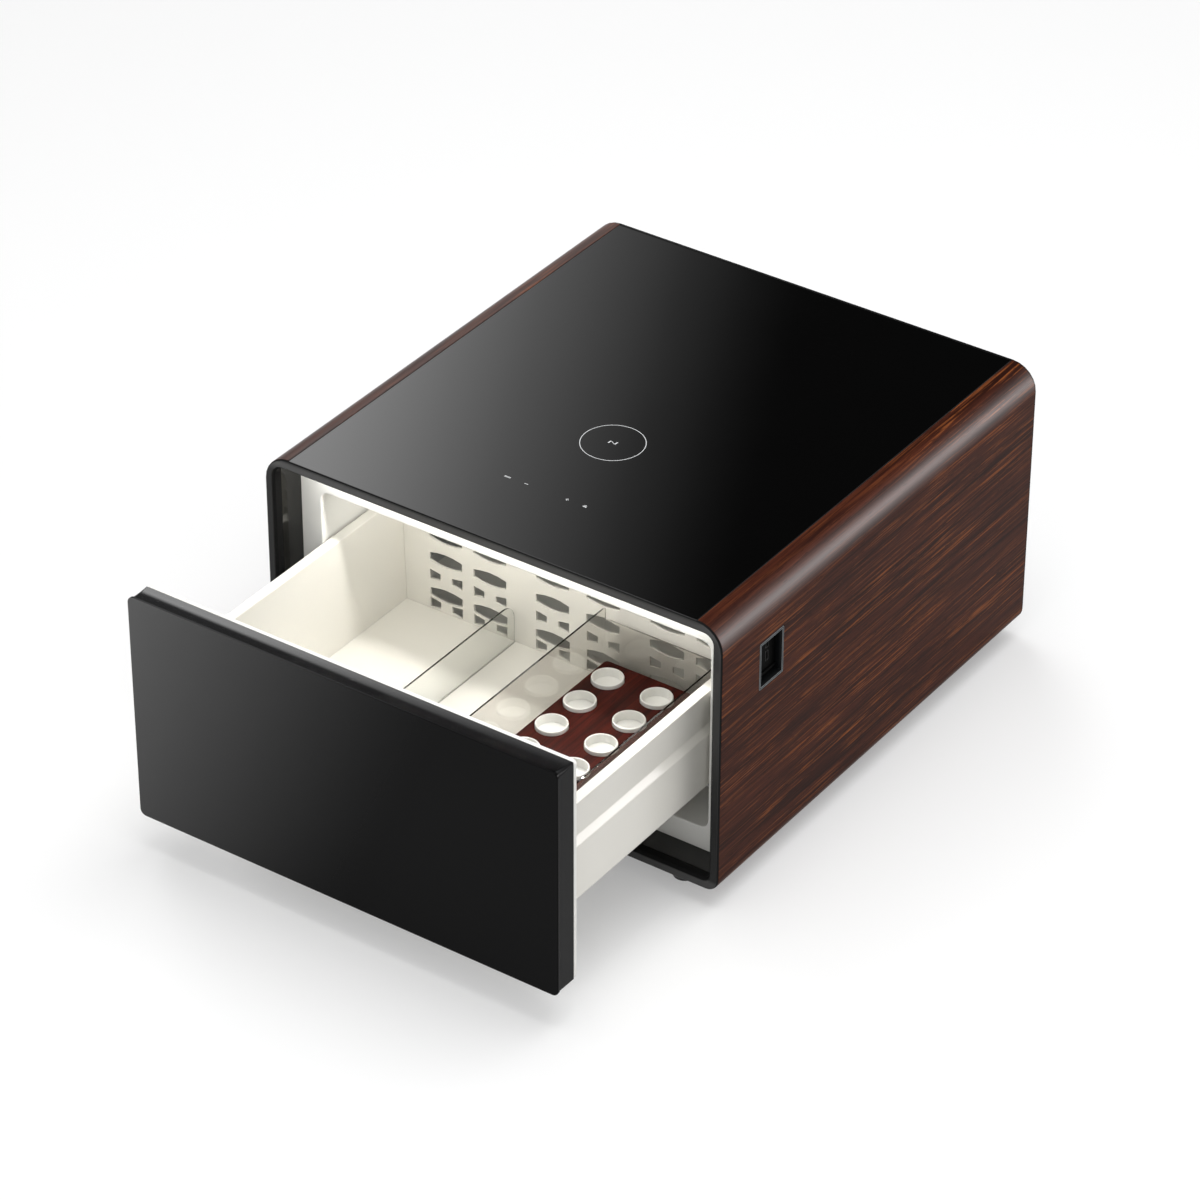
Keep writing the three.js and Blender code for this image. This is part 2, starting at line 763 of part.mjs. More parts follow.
// The pipe leaves the compressor square to its can and meets the condenser the same way
function makeRefrigerantPipe() {
  const start = compressorAcross + compressorRadius + fit;
  const end = condenserAcross - condenserHalf - fit;
  const meetDepth = (condenserFront + condenserRear) / 2;
  const route = new THREE.CubicBezierCurve3(
    new THREE.Vector3(start, compressorDepth, pipeHeight),
    new THREE.Vector3(start + pipeSweep + pipeSweep, compressorDepth, pipeHeight),
    new THREE.Vector3(end - pipeSweep - pipeSweep, meetDepth, pipeHeight),
    new THREE.Vector3(end, meetDepth, pipeHeight),
  );
  const section = new THREE.Shape();
  section.absarc(0, 0, pipeRadius, 0, 2 * Math.PI);
  const pipe = new THREE.ExtrudeGeometry(section, {
    steps: pipeSteps, curveSegments: pipeSides / 2, bevelEnabled: false, extrudePath: route,
  });
  place(cabinet, 'refrigerant_pipe', solid(pipe), finishes.copper);
}

// Fan: a square frame with a round duct, a motor boss on struts and pitched blades
const fanGap = 23;
const fanAcross = condenserAcross;
const fanFront = condenserRear + fanGap;
const fanDepth = 25;
const fanHalf = 46;
const fanCorner = 5;
const fanBore = 43;
const fanClearance = 1.5;
const motorRadius = 17;
const motorDepth = 7;
const strutWide = 4;
const strutDepth = 4;
const strutTurnsDeg = [45, 135];
const shaftRadius = 2.5;
const hubRadius = 16;
const hubCone = 3;
const bladeCount = 7;
const bladeThickness = 1.8;
const bladeRootChord = 13;
const bladeTipChord = 23;
const bladeRootPitch = 42;
const bladeTipPitch = 24;
const bladeDepthShare = 0.9;
const bladeStations = 4;
const fanHeight = bayFloor + fanHalf;
const fanRear = fanFront + fanDepth;
const hubFront = fanFront + fit;
const hubRear = fanRear - motorDepth - fit;

function makeFanFrame() {
  const square = alongY(roundedRectangle(fanHalf, fanHalf, fanCorner), fanFront, fanRear);
  const bore = rodAlongY(fanBore, fanFront - overrun, fanRear + overrun, turnSteps + turnSteps);
  const struts = strutTurnsDeg.map((turn) => block(
    -fanBore - overrun, fanBore + overrun, fanRear - strutDepth, fanRear, -strutWide / 2, strutWide / 2,
  ).rotate([0, turn, 0]));
  const motor = rodAlongY(motorRadius, fanRear - motorDepth, fanRear);
  const holeFront = fanRear - motorDepth - overrun;
  const shaftHole = rodAlongY(shaftRadius + fit, holeFront, fanRear + overrun, turnSteps / 2);
  const frame = cut(join(cut(square, bore), ...struts, motor), shaftHole);
  place(cabinet, 'fan_frame', frame.translate([fanAcross, 0, fanHeight]), finishes.matteBlack);
}

// One blade as a skin through sections whose pitch eases and chord widens to the tip
function fanBlade(turn) {
  const rootRadius = hubRadius - overrun;
  const tipRadius = fanBore - fanClearance;
  const middle = (hubFront + hubRear) / 2;
  const sections = Array.from({ length: bladeStations }, (_, station) => {
    const share = station / (bladeStations - 1);
    const radius = THREE.MathUtils.lerp(rootRadius, tipRadius, share);
    const chord = THREE.MathUtils.lerp(bladeRootChord, bladeTipChord, share);
    const pitch = THREE.MathUtils.degToRad(THREE.MathUtils.lerp(bladeRootPitch, bladeTipPitch, share));
    const corners = [[-0.5, -0.5], [-0.5, 0.5], [0.5, 0.5], [0.5, -0.5]];
    return corners.map(([chordShare, thickShare]) => {
      const along = chordShare * chord;
      const off = thickShare * bladeThickness;
      const angle = turn + (along * Math.cos(pitch) - off * Math.sin(pitch)) / radius;
      const depth = middle + (along * Math.sin(pitch) + off * Math.cos(pitch)) * bladeDepthShare;
      return new THREE.Vector3(radius * Math.cos(angle), depth, radius * Math.sin(angle));
    });
  });
  return skin(sections, false);
}

function makeFanRotor() {
  const hub = turnedAboutY([
    [0, hubFront], [hubRadius - hubCone, hubFront], [hubRadius, hubFront + hubCone], [hubRadius, hubRear],
    [shaftRadius, hubRear], [shaftRadius, fanRear - overrun], [0, fanRear - overrun],
  ]);
  const blades = Array.from({ length: bladeCount }, (_, blade) => fanBlade(blade * 2 * Math.PI / bladeCount));
  place(cabinet, 'fan_rotor', join(hub, ...blades).translate([fanAcross, 0, fanHeight]), finishes.matteBlack);
}

const wiringShare = 0.553846154;
const wiringGap = 17;
const wiringBoxWide = 104;
const wiringBoxDeep = 78;
const wiringBoxTall = 110;
const wiringBoxChamfer = 8;
const wiringBoxLeft = wiringShare * shell.half;
const wiringBoxRight = wiringBoxLeft + wiringBoxWide;
const wiringBoxFront = insulationRear + wiringGap;
const wiringBoxRear = wiringBoxFront + wiringBoxDeep;
const dripMargin = 39;
const dripGap = 12;
const dripSetBack = 15;
const dripDeep = 102;
const dripTall = 24;
const dripWall = 2;
const dripLeft = dripMargin - shell.half;
const dripRight = compressorAcross - mountHalfWide - dripGap;
const dripFront = insulationRear + dripSetBack;
const dripRear = dripFront + dripDeep;

function makeControlBox() {
  const high = bayFloor + wiringBoxTall;
  const outline = polygon([
    [wiringBoxLeft, bayFloor], [wiringBoxRight, bayFloor],
    [wiringBoxRight, high - wiringBoxChamfer], [wiringBoxRight - wiringBoxChamfer, high],
    [wiringBoxLeft + wiringBoxChamfer, high], [wiringBoxLeft, high - wiringBoxChamfer],
  ]);
  place(cabinet, 'control_box', alongY(outline, wiringBoxFront, wiringBoxRear), finishes.matteBlack);
}

function makeDripTray() {
  const outside = block(dripLeft, dripRight, dripFront, dripRear, bayFloor, bayFloor + dripTall);
  const inside = block(
    dripLeft + dripWall, dripRight - dripWall, dripFront + dripWall, dripRear - dripWall,
    bayFloor + dripWall, bayFloor + dripTall + overrun,
  );
  place(cabinet, 'drip_tray', cut(outside, inside), finishes.matteBlack);
}

// Rear cover with its two groups of vents, four screws and the power inlet
const ventPitch = 12;
const ventWide = 5;
const ventCount = 9;
const ventLowShare = 0.1;
const ventHighShare = 0.42;
const inletMargin = 93;
const inletAcross = shell.half - inletMargin;
const inletHeight = 150;
const inletHalfWide = 14;
const inletHalfTall = 10;
const inletFlange = 3;
const inletFlangeThickness = 2.4;
const inletBodyDepth = 18;
const inletSocketHalfWide = 11.7;
const inletSocketHalfTall = 7.6;
const inletSocketChamfer = 4;
const inletSocketDepth = 15;
const inletPinHalfWide = 1;
const inletPinHalfTall = 2;
const inletPinReach = 11;
const inletPinSpread = 7;
const inletPinRise = 2;
const screwHeadRadius = 4;
const screwHeadHeight = 2.2;
const screwReach = 2;

function makeRearCover() {
  const height = rearOpening.high - rearOpening.low;
  const plate = alongY(upright(grown(rearOpening, -fit)), coverFront, coverRear);
  const vents = [compressorAcross, fanAcross].flatMap((middle) =>
    Array.from({ length: ventCount }, (_, vent) => {
      const left = middle + (vent - (ventCount - 1) / 2) * ventPitch - ventWide / 2;
      return block(
        left, left + ventWide, coverFront - overrun, coverRear + overrun,
        rearOpening.low + height * ventLowShare, rearOpening.low + height * ventHighShare,
      );
    }));
  const inletHole = block(
    inletAcross - inletHalfWide - fit, inletAcross + inletHalfWide + fit,
    coverFront - overrun, coverRear + overrun,
    inletHeight - inletHalfTall - fit, inletHeight + inletHalfTall + fit,
  );
  const holes = screwPlaces.map((spot) => screwHole(spot, coverFront - overrun, coverRear + overrun));
  place(cabinet, 'rear_cover', cut(plate, ...vents, inletHole, ...holes), finishes.matteBlack);
}

function makeCoverScrews() {
  const seat = coverRear + fit;
  const tip = rearFrameFront - screwReach;
  screwPlaces.forEach(([x, z], index) => {
    const screw = turnedAboutY([
      [0, tip], [coverScrewRadius, tip], [coverScrewRadius, seat],
      [screwHeadRadius, seat], [screwHeadRadius, seat + screwHeadHeight / 2],
      [screwHeadRadius / 2, seat + screwHeadHeight], [0, seat + screwHeadHeight],
    ], turnSteps / 2);
    place(cabinet, `cover_screw_${index + 1}`, screw, finishes.zincSteel).position.set(x, 0, z);
  });
}

// The inlet is drawn facing the front and turned to face the rear
function makePowerInlet() {
  const inlet = new THREE.Group();
  inlet.position.set(inletAcross, coverRear + fit, inletHeight);
  inlet.rotation.z = Math.PI;
  cabinet.add(inlet);
  const flangeHalfWide = inletHalfWide + inletFlange;
  const flangeHalfTall = inletHalfTall + inletFlange;
  const front = -inletFlangeThickness;
  const flangePlate = block(-flangeHalfWide, flangeHalfWide, front, 0, -flangeHalfTall, flangeHalfTall);
  const body = block(
    -inletHalfWide, inletHalfWide, front, inletBodyDepth, -inletHalfTall, inletHalfTall,
  );
  const mouth = alongY(polygon([
    [-inletSocketHalfWide, -inletSocketHalfTall], [inletSocketHalfWide, -inletSocketHalfTall],
    [inletSocketHalfWide, inletSocketHalfTall - inletSocketChamfer],
    [inletSocketHalfWide - inletSocketChamfer, inletSocketHalfTall],
    [inletSocketChamfer - inletSocketHalfWide, inletSocketHalfTall],
    [-inletSocketHalfWide, inletSocketHalfTall - inletSocketChamfer],
  ]), front - overrun, front + inletSocketDepth);
  const pinPlaces = [[-inletPinSpread, -inletPinRise], [0, inletPinRise], [inletPinSpread, -inletPinRise]];
  const pins = pinPlaces.map(([x, z]) => block(
    x - inletPinHalfWide, x + inletPinHalfWide,
    front + inletSocketDepth - inletPinReach, front + inletSocketDepth + overrun,
    z - inletPinHalfTall, z + inletPinHalfTall,
  ));
  place(inlet, 'power_inlet', join(cut(join(flangePlate, body), mouth), ...pins), finishes.matteBlack);
}

// Drawer front: glass on a concave frame with a foam core, a white liner and a seal
const faceMargin = 23.5;
const faceDrop = 37;
const faceHalf = shell.half - faceMargin;
const faceLow = 23;
const faceHigh = cabinetHeight - faceDrop;
const faceRadius = 8.5;
const faceGlass = 4;
const faceChamfer = 0.8;
const frameRear = 33;
const frameSteps = 6;
const frameHollow = 1;
const frameSetIn = 1.2;
const frameRearSetIn = 1.5;
const frameRearDrop = 4;
const frameRearRadius = 1.5;
const frameRail = 12;
const linerRimRadius = 5;
const linerRear = 39;
const sealSetIn = 9;
const sealWide = 9.5;
const sealLip = 2;
const sealRadius = 12;
const face = { half: faceHalf, low: faceLow, high: faceHigh, topRadius: faceRadius, lowRadius: faceRadius };
const frameBack = {
  half: faceHalf - frameRearSetIn,
  low: faceLow + frameRearDrop,
  high: faceHigh - frameRearDrop,
  topRadius: frameRearRadius,
  lowRadius: frameRearRadius,
};
const frameInner = { ...grown(frameBack, -frameRail), topRadius: faceRadius, lowRadius: faceRadius };
const frameFront = faceGlass + fit;
const doorLinerFront = frameRear + fit;
const sealFront = linerRear + fit;
const sealRear = flangeSetBack - fit;

function makeDrawerGlass() {
  const glass = skin([
    ring(face, faceGlass),
    ring(face, faceChamfer),
    ring(grown(face, -faceChamfer), 0),
  ], false);
  place(drawer, 'drawer_glass', glass, finishes.blackGlass);
}

function makeDrawerFrame() {
  const frontOutline = grown(face, -frameSetIn);
  const hollowRings = Array.from({ length: frameSteps + 1 }, (_, step) => {
    const share = step / frameSteps;
    const hollow = 4 * frameHollow * share * (1 - share);
    const outline = blended(frameBack, frontOutline, share);
    const hollowed = { ...outline, high: outline.high - hollow };
    return ring(hollowed, THREE.MathUtils.lerp(frameRear, frameFront, share));
  });
  const frame = skin([...hollowRings, ring(frameInner, frameFront), ring(frameInner, frameRear)], true);
  place(drawer, 'drawer_frame', frame, finishes.darkFrame);
  const filling = alongY(upright(grown(frameInner, -fit)), frameFront, frameRear);
  place(drawer, 'drawer_core', filling, finishes.foam);
}

function makeDoorLiner() {
  const outline = { ...frameBack, topRadius: linerRimRadius, lowRadius: linerRimRadius };
  const plate = alongY(upright(outline), doorLinerFront, linerRear);
  place(drawer, 'drawer_liner', plate, finishes.whiteShell);
}

function makeDrawerSeal() {
  const outer = {
    ...grown(frameBack, -sealSetIn),
    high: cavityCeiling + sealSetIn,
    low: cavityFloor - sealSetIn - linerWall,
    topRadius: sealRadius,
    lowRadius: sealRadius,
  };
  const inner = grown(outer, -sealWide);
  const waist = (sealFront + sealRear) / 2;
  const seal = skin([
    ring(outer, sealRear),
    ring(grown(outer, -sealLip), waist),
    ring(outer, sealFront),
    ring(inner, sealFront),
    ring(grown(inner, sealLip), waist),
    ring(inner, sealRear),
  ], true);
  place(drawer, 'drawer_seal', seal, finishes.greySeal);
}

// Runners: three nested steel channels on each side, drawn on the right
const runnerFront = 56;
const runnerRearGap = 14.7;
const runnerRear = drawerRear - runnerRearGap;
const runnerSheet = 1.4;
const innerSheet = 1.2;
const runnerPlay = 0.6;
const runnerLow = 112;
const runnerHigh = 168;
const cabinetWebGap = 5.6;
const cabinetLipGap = 11.5;
const middleWebGap = 8.2;
const middleLipGap = 14.9;
const drawerWebGap = 16.7;
const drawerLipGap = 10.1;
const bracketShelf = 100;
const bracketLow = 84;
const cabinetWeb = cavityHalf - cabinetWebGap;
const cabinetLip = cavityHalf - cabinetLipGap;
const middleWeb = cavityHalf - middleWebGap;
const middleLip = cavityHalf - middleLipGap;
const drawerWeb = cavityHalf - drawerWebGap;
const drawerLip = cavityHalf - drawerLipGap;

// A channel: its web stands at one X and its lips reach to another
function channel(web, lip, low, high, sheet) {
  const inside = web + Math.sign(lip - web) * sheet;
  return polygon([
    [web, low], [web, high], [lip, high], [lip, high - sheet], [inside, high - sheet],
    [inside, low + sheet], [lip, low + sheet], [lip, low],
  ]);
}

// The cabinet member steps out under the drawer's skirt to a flange on the cavity wall
function cabinetMember() {
  const inside = cabinetWeb - runnerSheet;
  const wall = cavityHalf - fit;
  const shelfTop = bracketShelf + runnerSheet;
  return polygon([
    [cabinetWeb, shelfTop], [cabinetWeb, runnerHigh], [cabinetLip, runnerHigh],
    [cabinetLip, runnerHigh - runnerSheet], [inside, runnerHigh - runnerSheet],
    [inside, runnerLow + runnerSheet], [cabinetLip, runnerLow + runnerSheet], [cabinetLip, runnerLow],
    [inside, runnerLow], [inside, bracketShelf], [wall - runnerSheet, bracketShelf],
    [wall - runnerSheet, bracketLow], [wall, bracketLow], [wall, shelfTop],
  ]);
}

function makeRunners() {
  const middleLow = runnerLow + runnerSheet + runnerPlay;
  const middleHigh = runnerHigh - runnerSheet - runnerPlay;
  const drawerLow = middleLow + innerSheet + runnerPlay;
  const drawerHigh = middleHigh - innerSheet - runnerPlay;
  const middle = channel(middleWeb, middleLip, middleLow, middleHigh, innerSheet);
  const inner = channel(drawerWeb, drawerLip, drawerLow, drawerHigh, innerSheet);
  for (const [name, side] of [['left', -1], ['right', 1]]) {
    const run = (section) => alongY(sided(section, side), runnerFront, runnerRear);
    place(cabinet, `runner_cabinet_${name}`, run(cabinetMember()), finishes.zincSteel);
    place(middleRunners, `runner_middle_${name}`, run(middle), finishes.zincSteel);
    place(drawer, `runner_drawer_${name}`, run(inner), finishes.zincSteel);
  }
}

// Basket sides: hollow mouldings, open below, that hide the runners under a ledge
const sideFront = linerRear + fit;
const rimThickness = 14;
const ledgeHeight = 187.6;
const ledgeGap = 8.5;
const skirtGap = 2.5;
const ledgeReach = cavityHalf - ledgeGap;
const skirtHalf = cavityHalf - skirtGap;
const skirtTop = 178.3;
const skirtLow = 106.4;
const sideWall = 2.5;
const runnerFace = drawerWeb - fit;

function basketSideSection() {
  const rimHalf = basketHalfHigh + rimThickness;
  return polygon([
    [basketHalfLow, basketFloor], [basketHalfHigh, basketRim], [rimHalf, basketRim],
    [ledgeReach, ledgeHeight], [skirtHalf, skirtTop], [skirtHalf, skirtLow], [skirtHalf - sideWall, skirtLow],
    [skirtHalf - sideWall, skirtTop - sideWall / 2], [ledgeReach - sideWall, ledgeHeight - sideWall / 2],
    [rimHalf - sideWall, basketRim - sideWall], [basketHalfHigh + sideWall, basketRim - sideWall],
    [runnerFace, ledgeHeight], [runnerFace, basketFloor],
  ]);
}

function makeBasketSides() {
  for (const [name, side] of [['left', -1], ['right', 1]]) {
    const moulding = alongY(sided(basketSideSection(), side), sideFront, drawerRear);
    place(drawer, `basket_side_${name}`, moulding, finishes.warmWhite);
  }
}

// Basket floor, with a groove that seats the bottle divider
const floorThickness = 3;
const backThickness = 3;
const dividerShare = 0.36186770;
const dividerAcross = -dividerShare * basketHalfLow;
const dividerThickness = 3;
const grooveDepth = 1.2;
const backFront = drawerRear - backThickness;
const floorTop = basketFloor + floorThickness;

function makeBasketFloor() {
  const half = basketHalfLow - fit;
  const rear = backFront - fit;
  const plate = block(-half, half, sideFront, rear, basketFloor, floorTop);
  const grooveHalf = dividerThickness / 2 + fit;
  const groove = block(
    dividerAcross - grooveHalf, dividerAcross + grooveHalf, sideFront - overrun, rear + overrun,
    floorTop - grooveDepth, floorTop + overrun,
  );
  place(drawer, 'basket_floor', cut(plate, groove), finishes.warmWhite);
}

// Basket back: three columns of barrel slots on each side with shorter slots between rows
const slotWide = 49;
const slotEndHeight = 11;
const slotMiddleHeight = 18.7;
const shortSlotWide = 16;
const shortOuterHeight = 14.6;
const shortInnerHeight = 9.2;
const slotColumnShares = [0.143, 0.502, 0.757];
const fullRowShares = [0.165, 0.512, 0.741];
const shortRowShares = [0.057, 0.337];

function barrelSlot(x, z) {
  const left = x - slotWide / 2;
  const right = x + slotWide / 2;
  const end = slotEndHeight / 2;
  const pull = slotMiddleHeight - end;
  const shape = new THREE.Shape();
  shape.moveTo(left, z - end);
  shape.quadraticCurveTo(x, z - pull, right, z - end);
  shape.lineTo(right, z + end);
  shape.quadraticCurveTo(x, z + pull, left, z + end);
  return shape;
}

function shortSlot(x, z, side) {
  const outer = x + side * slotWide / 2;
  const inner = outer - side * shortSlotWide;
  return polygon([
    [outer, z - shortOuterHeight / 2], [outer, z + shortOuterHeight / 2],
    [inner, z + shortInnerHeight / 2], [inner, z - shortInnerHeight / 2],
  ]);
}

function makeBasketBack() {
  const low = basketHalfLow - fit;
  const high = basketHalfHigh - fit;
  const outline = polygon([[-low, basketFloor], [low, basketFloor], [high, basketRim], [-high, basketRim]]);
  const middle = (low + high) / 2;
  const slotHeight = (share) => floorTop + share * (basketRim - floorTop);
  const columns = slotColumnShares.flatMap((share) => [-share * middle, share * middle]);
  const slots = columns.flatMap((x) => [
    ...fullRowShares.map((share) => barrelSlot(x, slotHeight(share))),
    ...shortRowShares.flatMap((share) => [-1, 1].map((side) => shortSlot(x, slotHeight(share), side))),
  ]);
  outline.holes.push(...slots);
  place(drawer, 'basket_back', alongY(outline, backFront, drawerRear), finishes.warmWhite);
}

// Bottle divider: a clear sheet with a rounded top corner, standing in the floor's groove
const dividerTop = 147.5;
const dividerCorner = 22;
const dividerClearance = 2;

function makeBottleDivider() {
  const front = sideFront + dividerClearance;
  const rear = backFront - dividerClearance;
  const low = floorTop - grooveDepth + fit;
  const sheet = new THREE.Shape();
  sheet.moveTo(front, low);
  sheet.lineTo(rear, low);
  sheet.absarc(rear - dividerCorner, dividerTop - dividerCorner, dividerCorner, 0, Math.PI / 2);
  sheet.lineTo(front, dividerTop);
  const turned = extruded(sheet, dividerThickness).rotateX(Math.PI / 2).rotateZ(Math.PI / 2);
  const body = solid(turned.translate(dividerAcross - dividerThickness / 2, 0, 0));
  place(drawer, 'bottle_divider', body, finishes.clearPlastic);
}

// Fruit tray: a clear bin with a lower rear wall, lifted out of the basket by hand
const traySideMargin = 121.5;
const trayAcross = basketHalfLow - traySideMargin;
const trayHalfWide = 89;
const trayFrontGap = 5;
const trayRearGap = 9;
const binWall = 2.5;
const binRadius = 8;
const binTop = 200;
const binRearTop = 183;
const binLow = floorTop + fit;
const binFront = sideFront + trayFrontGap;
const binRear = backFront - trayRearGap;
const binMiddle = (binFront + binRear) / 2;
const binHalfDeep = (binRear - binFront) / 2;

function makeFruitTray() {
  const outside = alongZ(roundedRectangle(trayHalfWide, binHalfDeep, binRadius), binLow, binTop);
  const inside = alongZ(
    roundedRectangle(trayHalfWide - binWall, binHalfDeep - binWall, binRadius - binWall),
    binLow + binWall, binTop + overrun,
  );
  const dip = block(
    binWall - trayHalfWide, trayHalfWide - binWall, binHalfDeep - binWall - overrun, binHalfDeep + overrun,
    binRearTop, binTop + overrun,
  );
  const tray = place(drawer, 'fruit_tray', cut(outside, inside, dip), finishes.clearPlastic);
  tray.position.set(trayAcross, binMiddle, 0);
}

// Fruit insert: a white plate of ring cups on a skirt, seen through a dark board's holes
const insertGap = 2.5;
const skirtThickness = 2;
const plateTop = 119;
const plateThickness = 2;
const cupRadius = 20;
const cupWall = 2.4;
const cupRise = 12;
const boardThickness = 7;
const cupColumns = 2;
const cupColumnPitch = 70.5;
const leastRowPitch = 57;
const cupFrontEdge = 6.4;
const cupRearEdge = 13;
const cupSteps = 14;
const cupColumnShift = -23.7;
const insertHalfWide = trayHalfWide - binWall - insertGap;
const insertHalfDeep = binHalfDeep - binWall - insertGap;
const insertRadius = binRadius - binWall;
const cupRows = Math.floor(2 * insertHalfDeep / leastRowPitch);
const frontCup = cupFrontEdge + cupRadius - insertHalfDeep;
const rearCup = insertHalfDeep - cupRadius - cupRearEdge;
const cupRowPitch = (rearCup - frontCup) / (cupRows - 1);
const cupPlaces = Array.from({ length: cupColumns * cupRows }, (_, cup) => [
  cupColumnShift + ((cup % cupColumns) - (cupColumns - 1) / 2) * cupColumnPitch,
  frontCup + Math.floor(cup / cupColumns) * cupRowPitch,
]);

function makeCupPlate() {
  const low = binLow + binWall + fit;
  const outline = roundedRectangle(insertHalfWide, insertHalfDeep, insertRadius);
  const inner = roundedRectangle(
    insertHalfWide - skirtThickness, insertHalfDeep - skirtThickness, insertRadius - skirtThickness,
  );
  const hollow = alongZ(inner, low - overrun, plateTop - plateThickness);
  const moulding = cut(alongZ(outline, low, plateTop), hollow);
  const cupTop = plateTop + cupRise;
  const sunk = plateTop - plateThickness / 2;
  const cups = cupPlaces.map(([x, y]) => turnedAboutZ([
    [cupRadius - cupWall, sunk], [cupRadius, sunk], [cupRadius, cupTop],
    [cupRadius - cupWall, cupTop], [cupRadius - cupWall, sunk],
  ], cupSteps).translate([x, y, 0]));
  const plate = place(drawer, 'cup_plate', join(moulding, ...cups), finishes.whiteShell);
  plate.position.set(trayAcross, binMiddle, 0);
}

function makeTrayBoard() {
  const low = plateTop + fit;
  const outline = roundedRectangle(insertHalfWide, insertHalfDeep, insertRadius);
  outline.holes = cupPlaces.map(([x, y]) => polygon(Array.from({ length: cupSteps }, (_, step) => {
    const angle = 2 * Math.PI * step / cupSteps;
    const radius = cupRadius + fit + fit;
    return [x + radius * Math.cos(angle), y + radius * Math.sin(angle)];
  })));
  const board = alongZ(outline, low, low + boardThickness);
  place(drawer, 'tray_board', board, finishes.darkBoard).position.set(trayAcross, binMiddle, 0);
}

makeWraps();
makeFrontBezel();
makeRearFrame();
makeTopGlass();
makeTopDeck();
makeChargingCoil();
makeTouchBoard();
makeBase();
makeThroatCollar();
makeLightStrip();
makeInnerLiner();
makeInsulation();
makePort();
makeColdSide();
makeCompressor();
makeCondenser();
makeRefrigerantPipe();
makeFanFrame();
makeFanRotor();
makeControlBox();
makeDripTray();
makeRearCover();
makeCoverScrews();
makePowerInlet();
makeDrawerGlass();
makeDrawerFrame();
makeDoorLiner();
makeDrawerSeal();
makeRunners();
makeBasketSides();
makeBasketFloor();
makeBasketBack();
makeBottleDivider();
makeFruitTray();
makeCupPlate();
makeTrayBoard();

export default table;
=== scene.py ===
# A refrigerator coffee table in a bright studio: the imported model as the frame, with fine pieces
# and finishes built on it in the order in which the table is put together.

import json
from math import atan2, cos, pi, radians, sin

import bmesh
import bpy
from mathutils import Matrix, Vector

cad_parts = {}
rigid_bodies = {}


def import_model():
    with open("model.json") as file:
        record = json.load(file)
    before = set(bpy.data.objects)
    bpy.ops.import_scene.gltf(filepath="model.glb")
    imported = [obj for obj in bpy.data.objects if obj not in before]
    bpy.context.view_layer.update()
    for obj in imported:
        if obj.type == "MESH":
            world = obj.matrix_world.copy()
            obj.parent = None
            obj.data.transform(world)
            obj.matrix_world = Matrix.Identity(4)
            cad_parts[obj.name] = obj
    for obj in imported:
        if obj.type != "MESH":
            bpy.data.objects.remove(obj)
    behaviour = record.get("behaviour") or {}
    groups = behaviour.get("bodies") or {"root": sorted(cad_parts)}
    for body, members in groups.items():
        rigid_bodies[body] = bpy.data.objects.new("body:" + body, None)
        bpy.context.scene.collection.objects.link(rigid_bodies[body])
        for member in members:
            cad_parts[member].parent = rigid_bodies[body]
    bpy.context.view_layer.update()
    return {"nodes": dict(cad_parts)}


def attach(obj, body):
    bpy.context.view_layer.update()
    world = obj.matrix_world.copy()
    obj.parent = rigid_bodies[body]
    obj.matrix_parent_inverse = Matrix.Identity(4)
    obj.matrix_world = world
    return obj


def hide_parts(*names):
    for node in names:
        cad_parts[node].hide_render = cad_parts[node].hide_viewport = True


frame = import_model()
scene = bpy.context.scene
scene.view_settings.view_transform = "Standard"
things = scene.collection.objects


# Camera and studio
# A long lens looks down on the table's front right corner. The floor is pale and plain, and the
# studio walls are a soft gradient that the glass top mirrors, bright at the left and dark ahead.
azimuth = radians(34.75464)
elevation = radians(34.06763)
roll = radians(0.1638)
camera_place = (2.7875, -3.99215, 3.491)
lens_length = 146.865
level = cos(elevation)
camera_back = Vector((sin(azimuth) * level, -cos(azimuth) * level, sin(elevation)))
camera_side = Vector((cos(azimuth), sin(azimuth), 0.0))
camera_up = camera_back.cross(camera_side)
camera_right = camera_side * cos(roll) + camera_up * sin(roll)
camera_top = camera_up * cos(roll) - camera_side * sin(roll)
lens = bpy.data.cameras.new("studio_lens")
lens.lens = lens_length
camera = bpy.data.objects.new("studio_camera", lens)
camera_turn = Matrix((camera_right, camera_top, camera_back)).transposed()
camera.matrix_world = Matrix.Translation(camera_place) @ camera_turn.to_4x4()
things.link(camera)
scene.camera = camera

# The studio's light by direction: one soft edge, laid as the glass top mirrors it
mirrored_ahead = Vector((-camera_back.x, -camera_back.y, camera_back.z))
mirrored_up = Vector((camera_top.x, camera_top.y, -camera_top.z))
slant = camera_side - 0.25 * mirrored_up
edge_of_light = [
    (-0.3, 3.8), (-0.16, 3.4), (-0.066, 2.86), (-0.0414, 1.58), (-0.0277, 0.98), (-0.014, 0.59),
    (0.0, 0.26), (0.0136, 0.085), (0.0198, 0.042), (0.025, 0.02), (0.04, 0.02),
]
edge_brightness = 4.0
front_brightness = 0.72


def fill(tree, node, feeds):
    """Links each fed input to a socket, or gives it its value."""
    for title, value in feeds.items():
        if isinstance(value, bpy.types.NodeSocket):
            tree.links.new(value, node.inputs[title])
        else:
            node.inputs[title].default_value = value


def node_in(tree, kind, feeds=None, **settings):
    """A node with its settings made and its inputs fed."""
    node = tree.nodes.new(f"ShaderNode{kind}")
    for title, value in settings.items():
        setattr(node, title, value)
    fill(tree, node, feeds or {})
    return node


def sum_in(tree, operation, *values):
    return node_in(tree, "Math", dict(enumerate(values)), operation=operation).outputs[0]


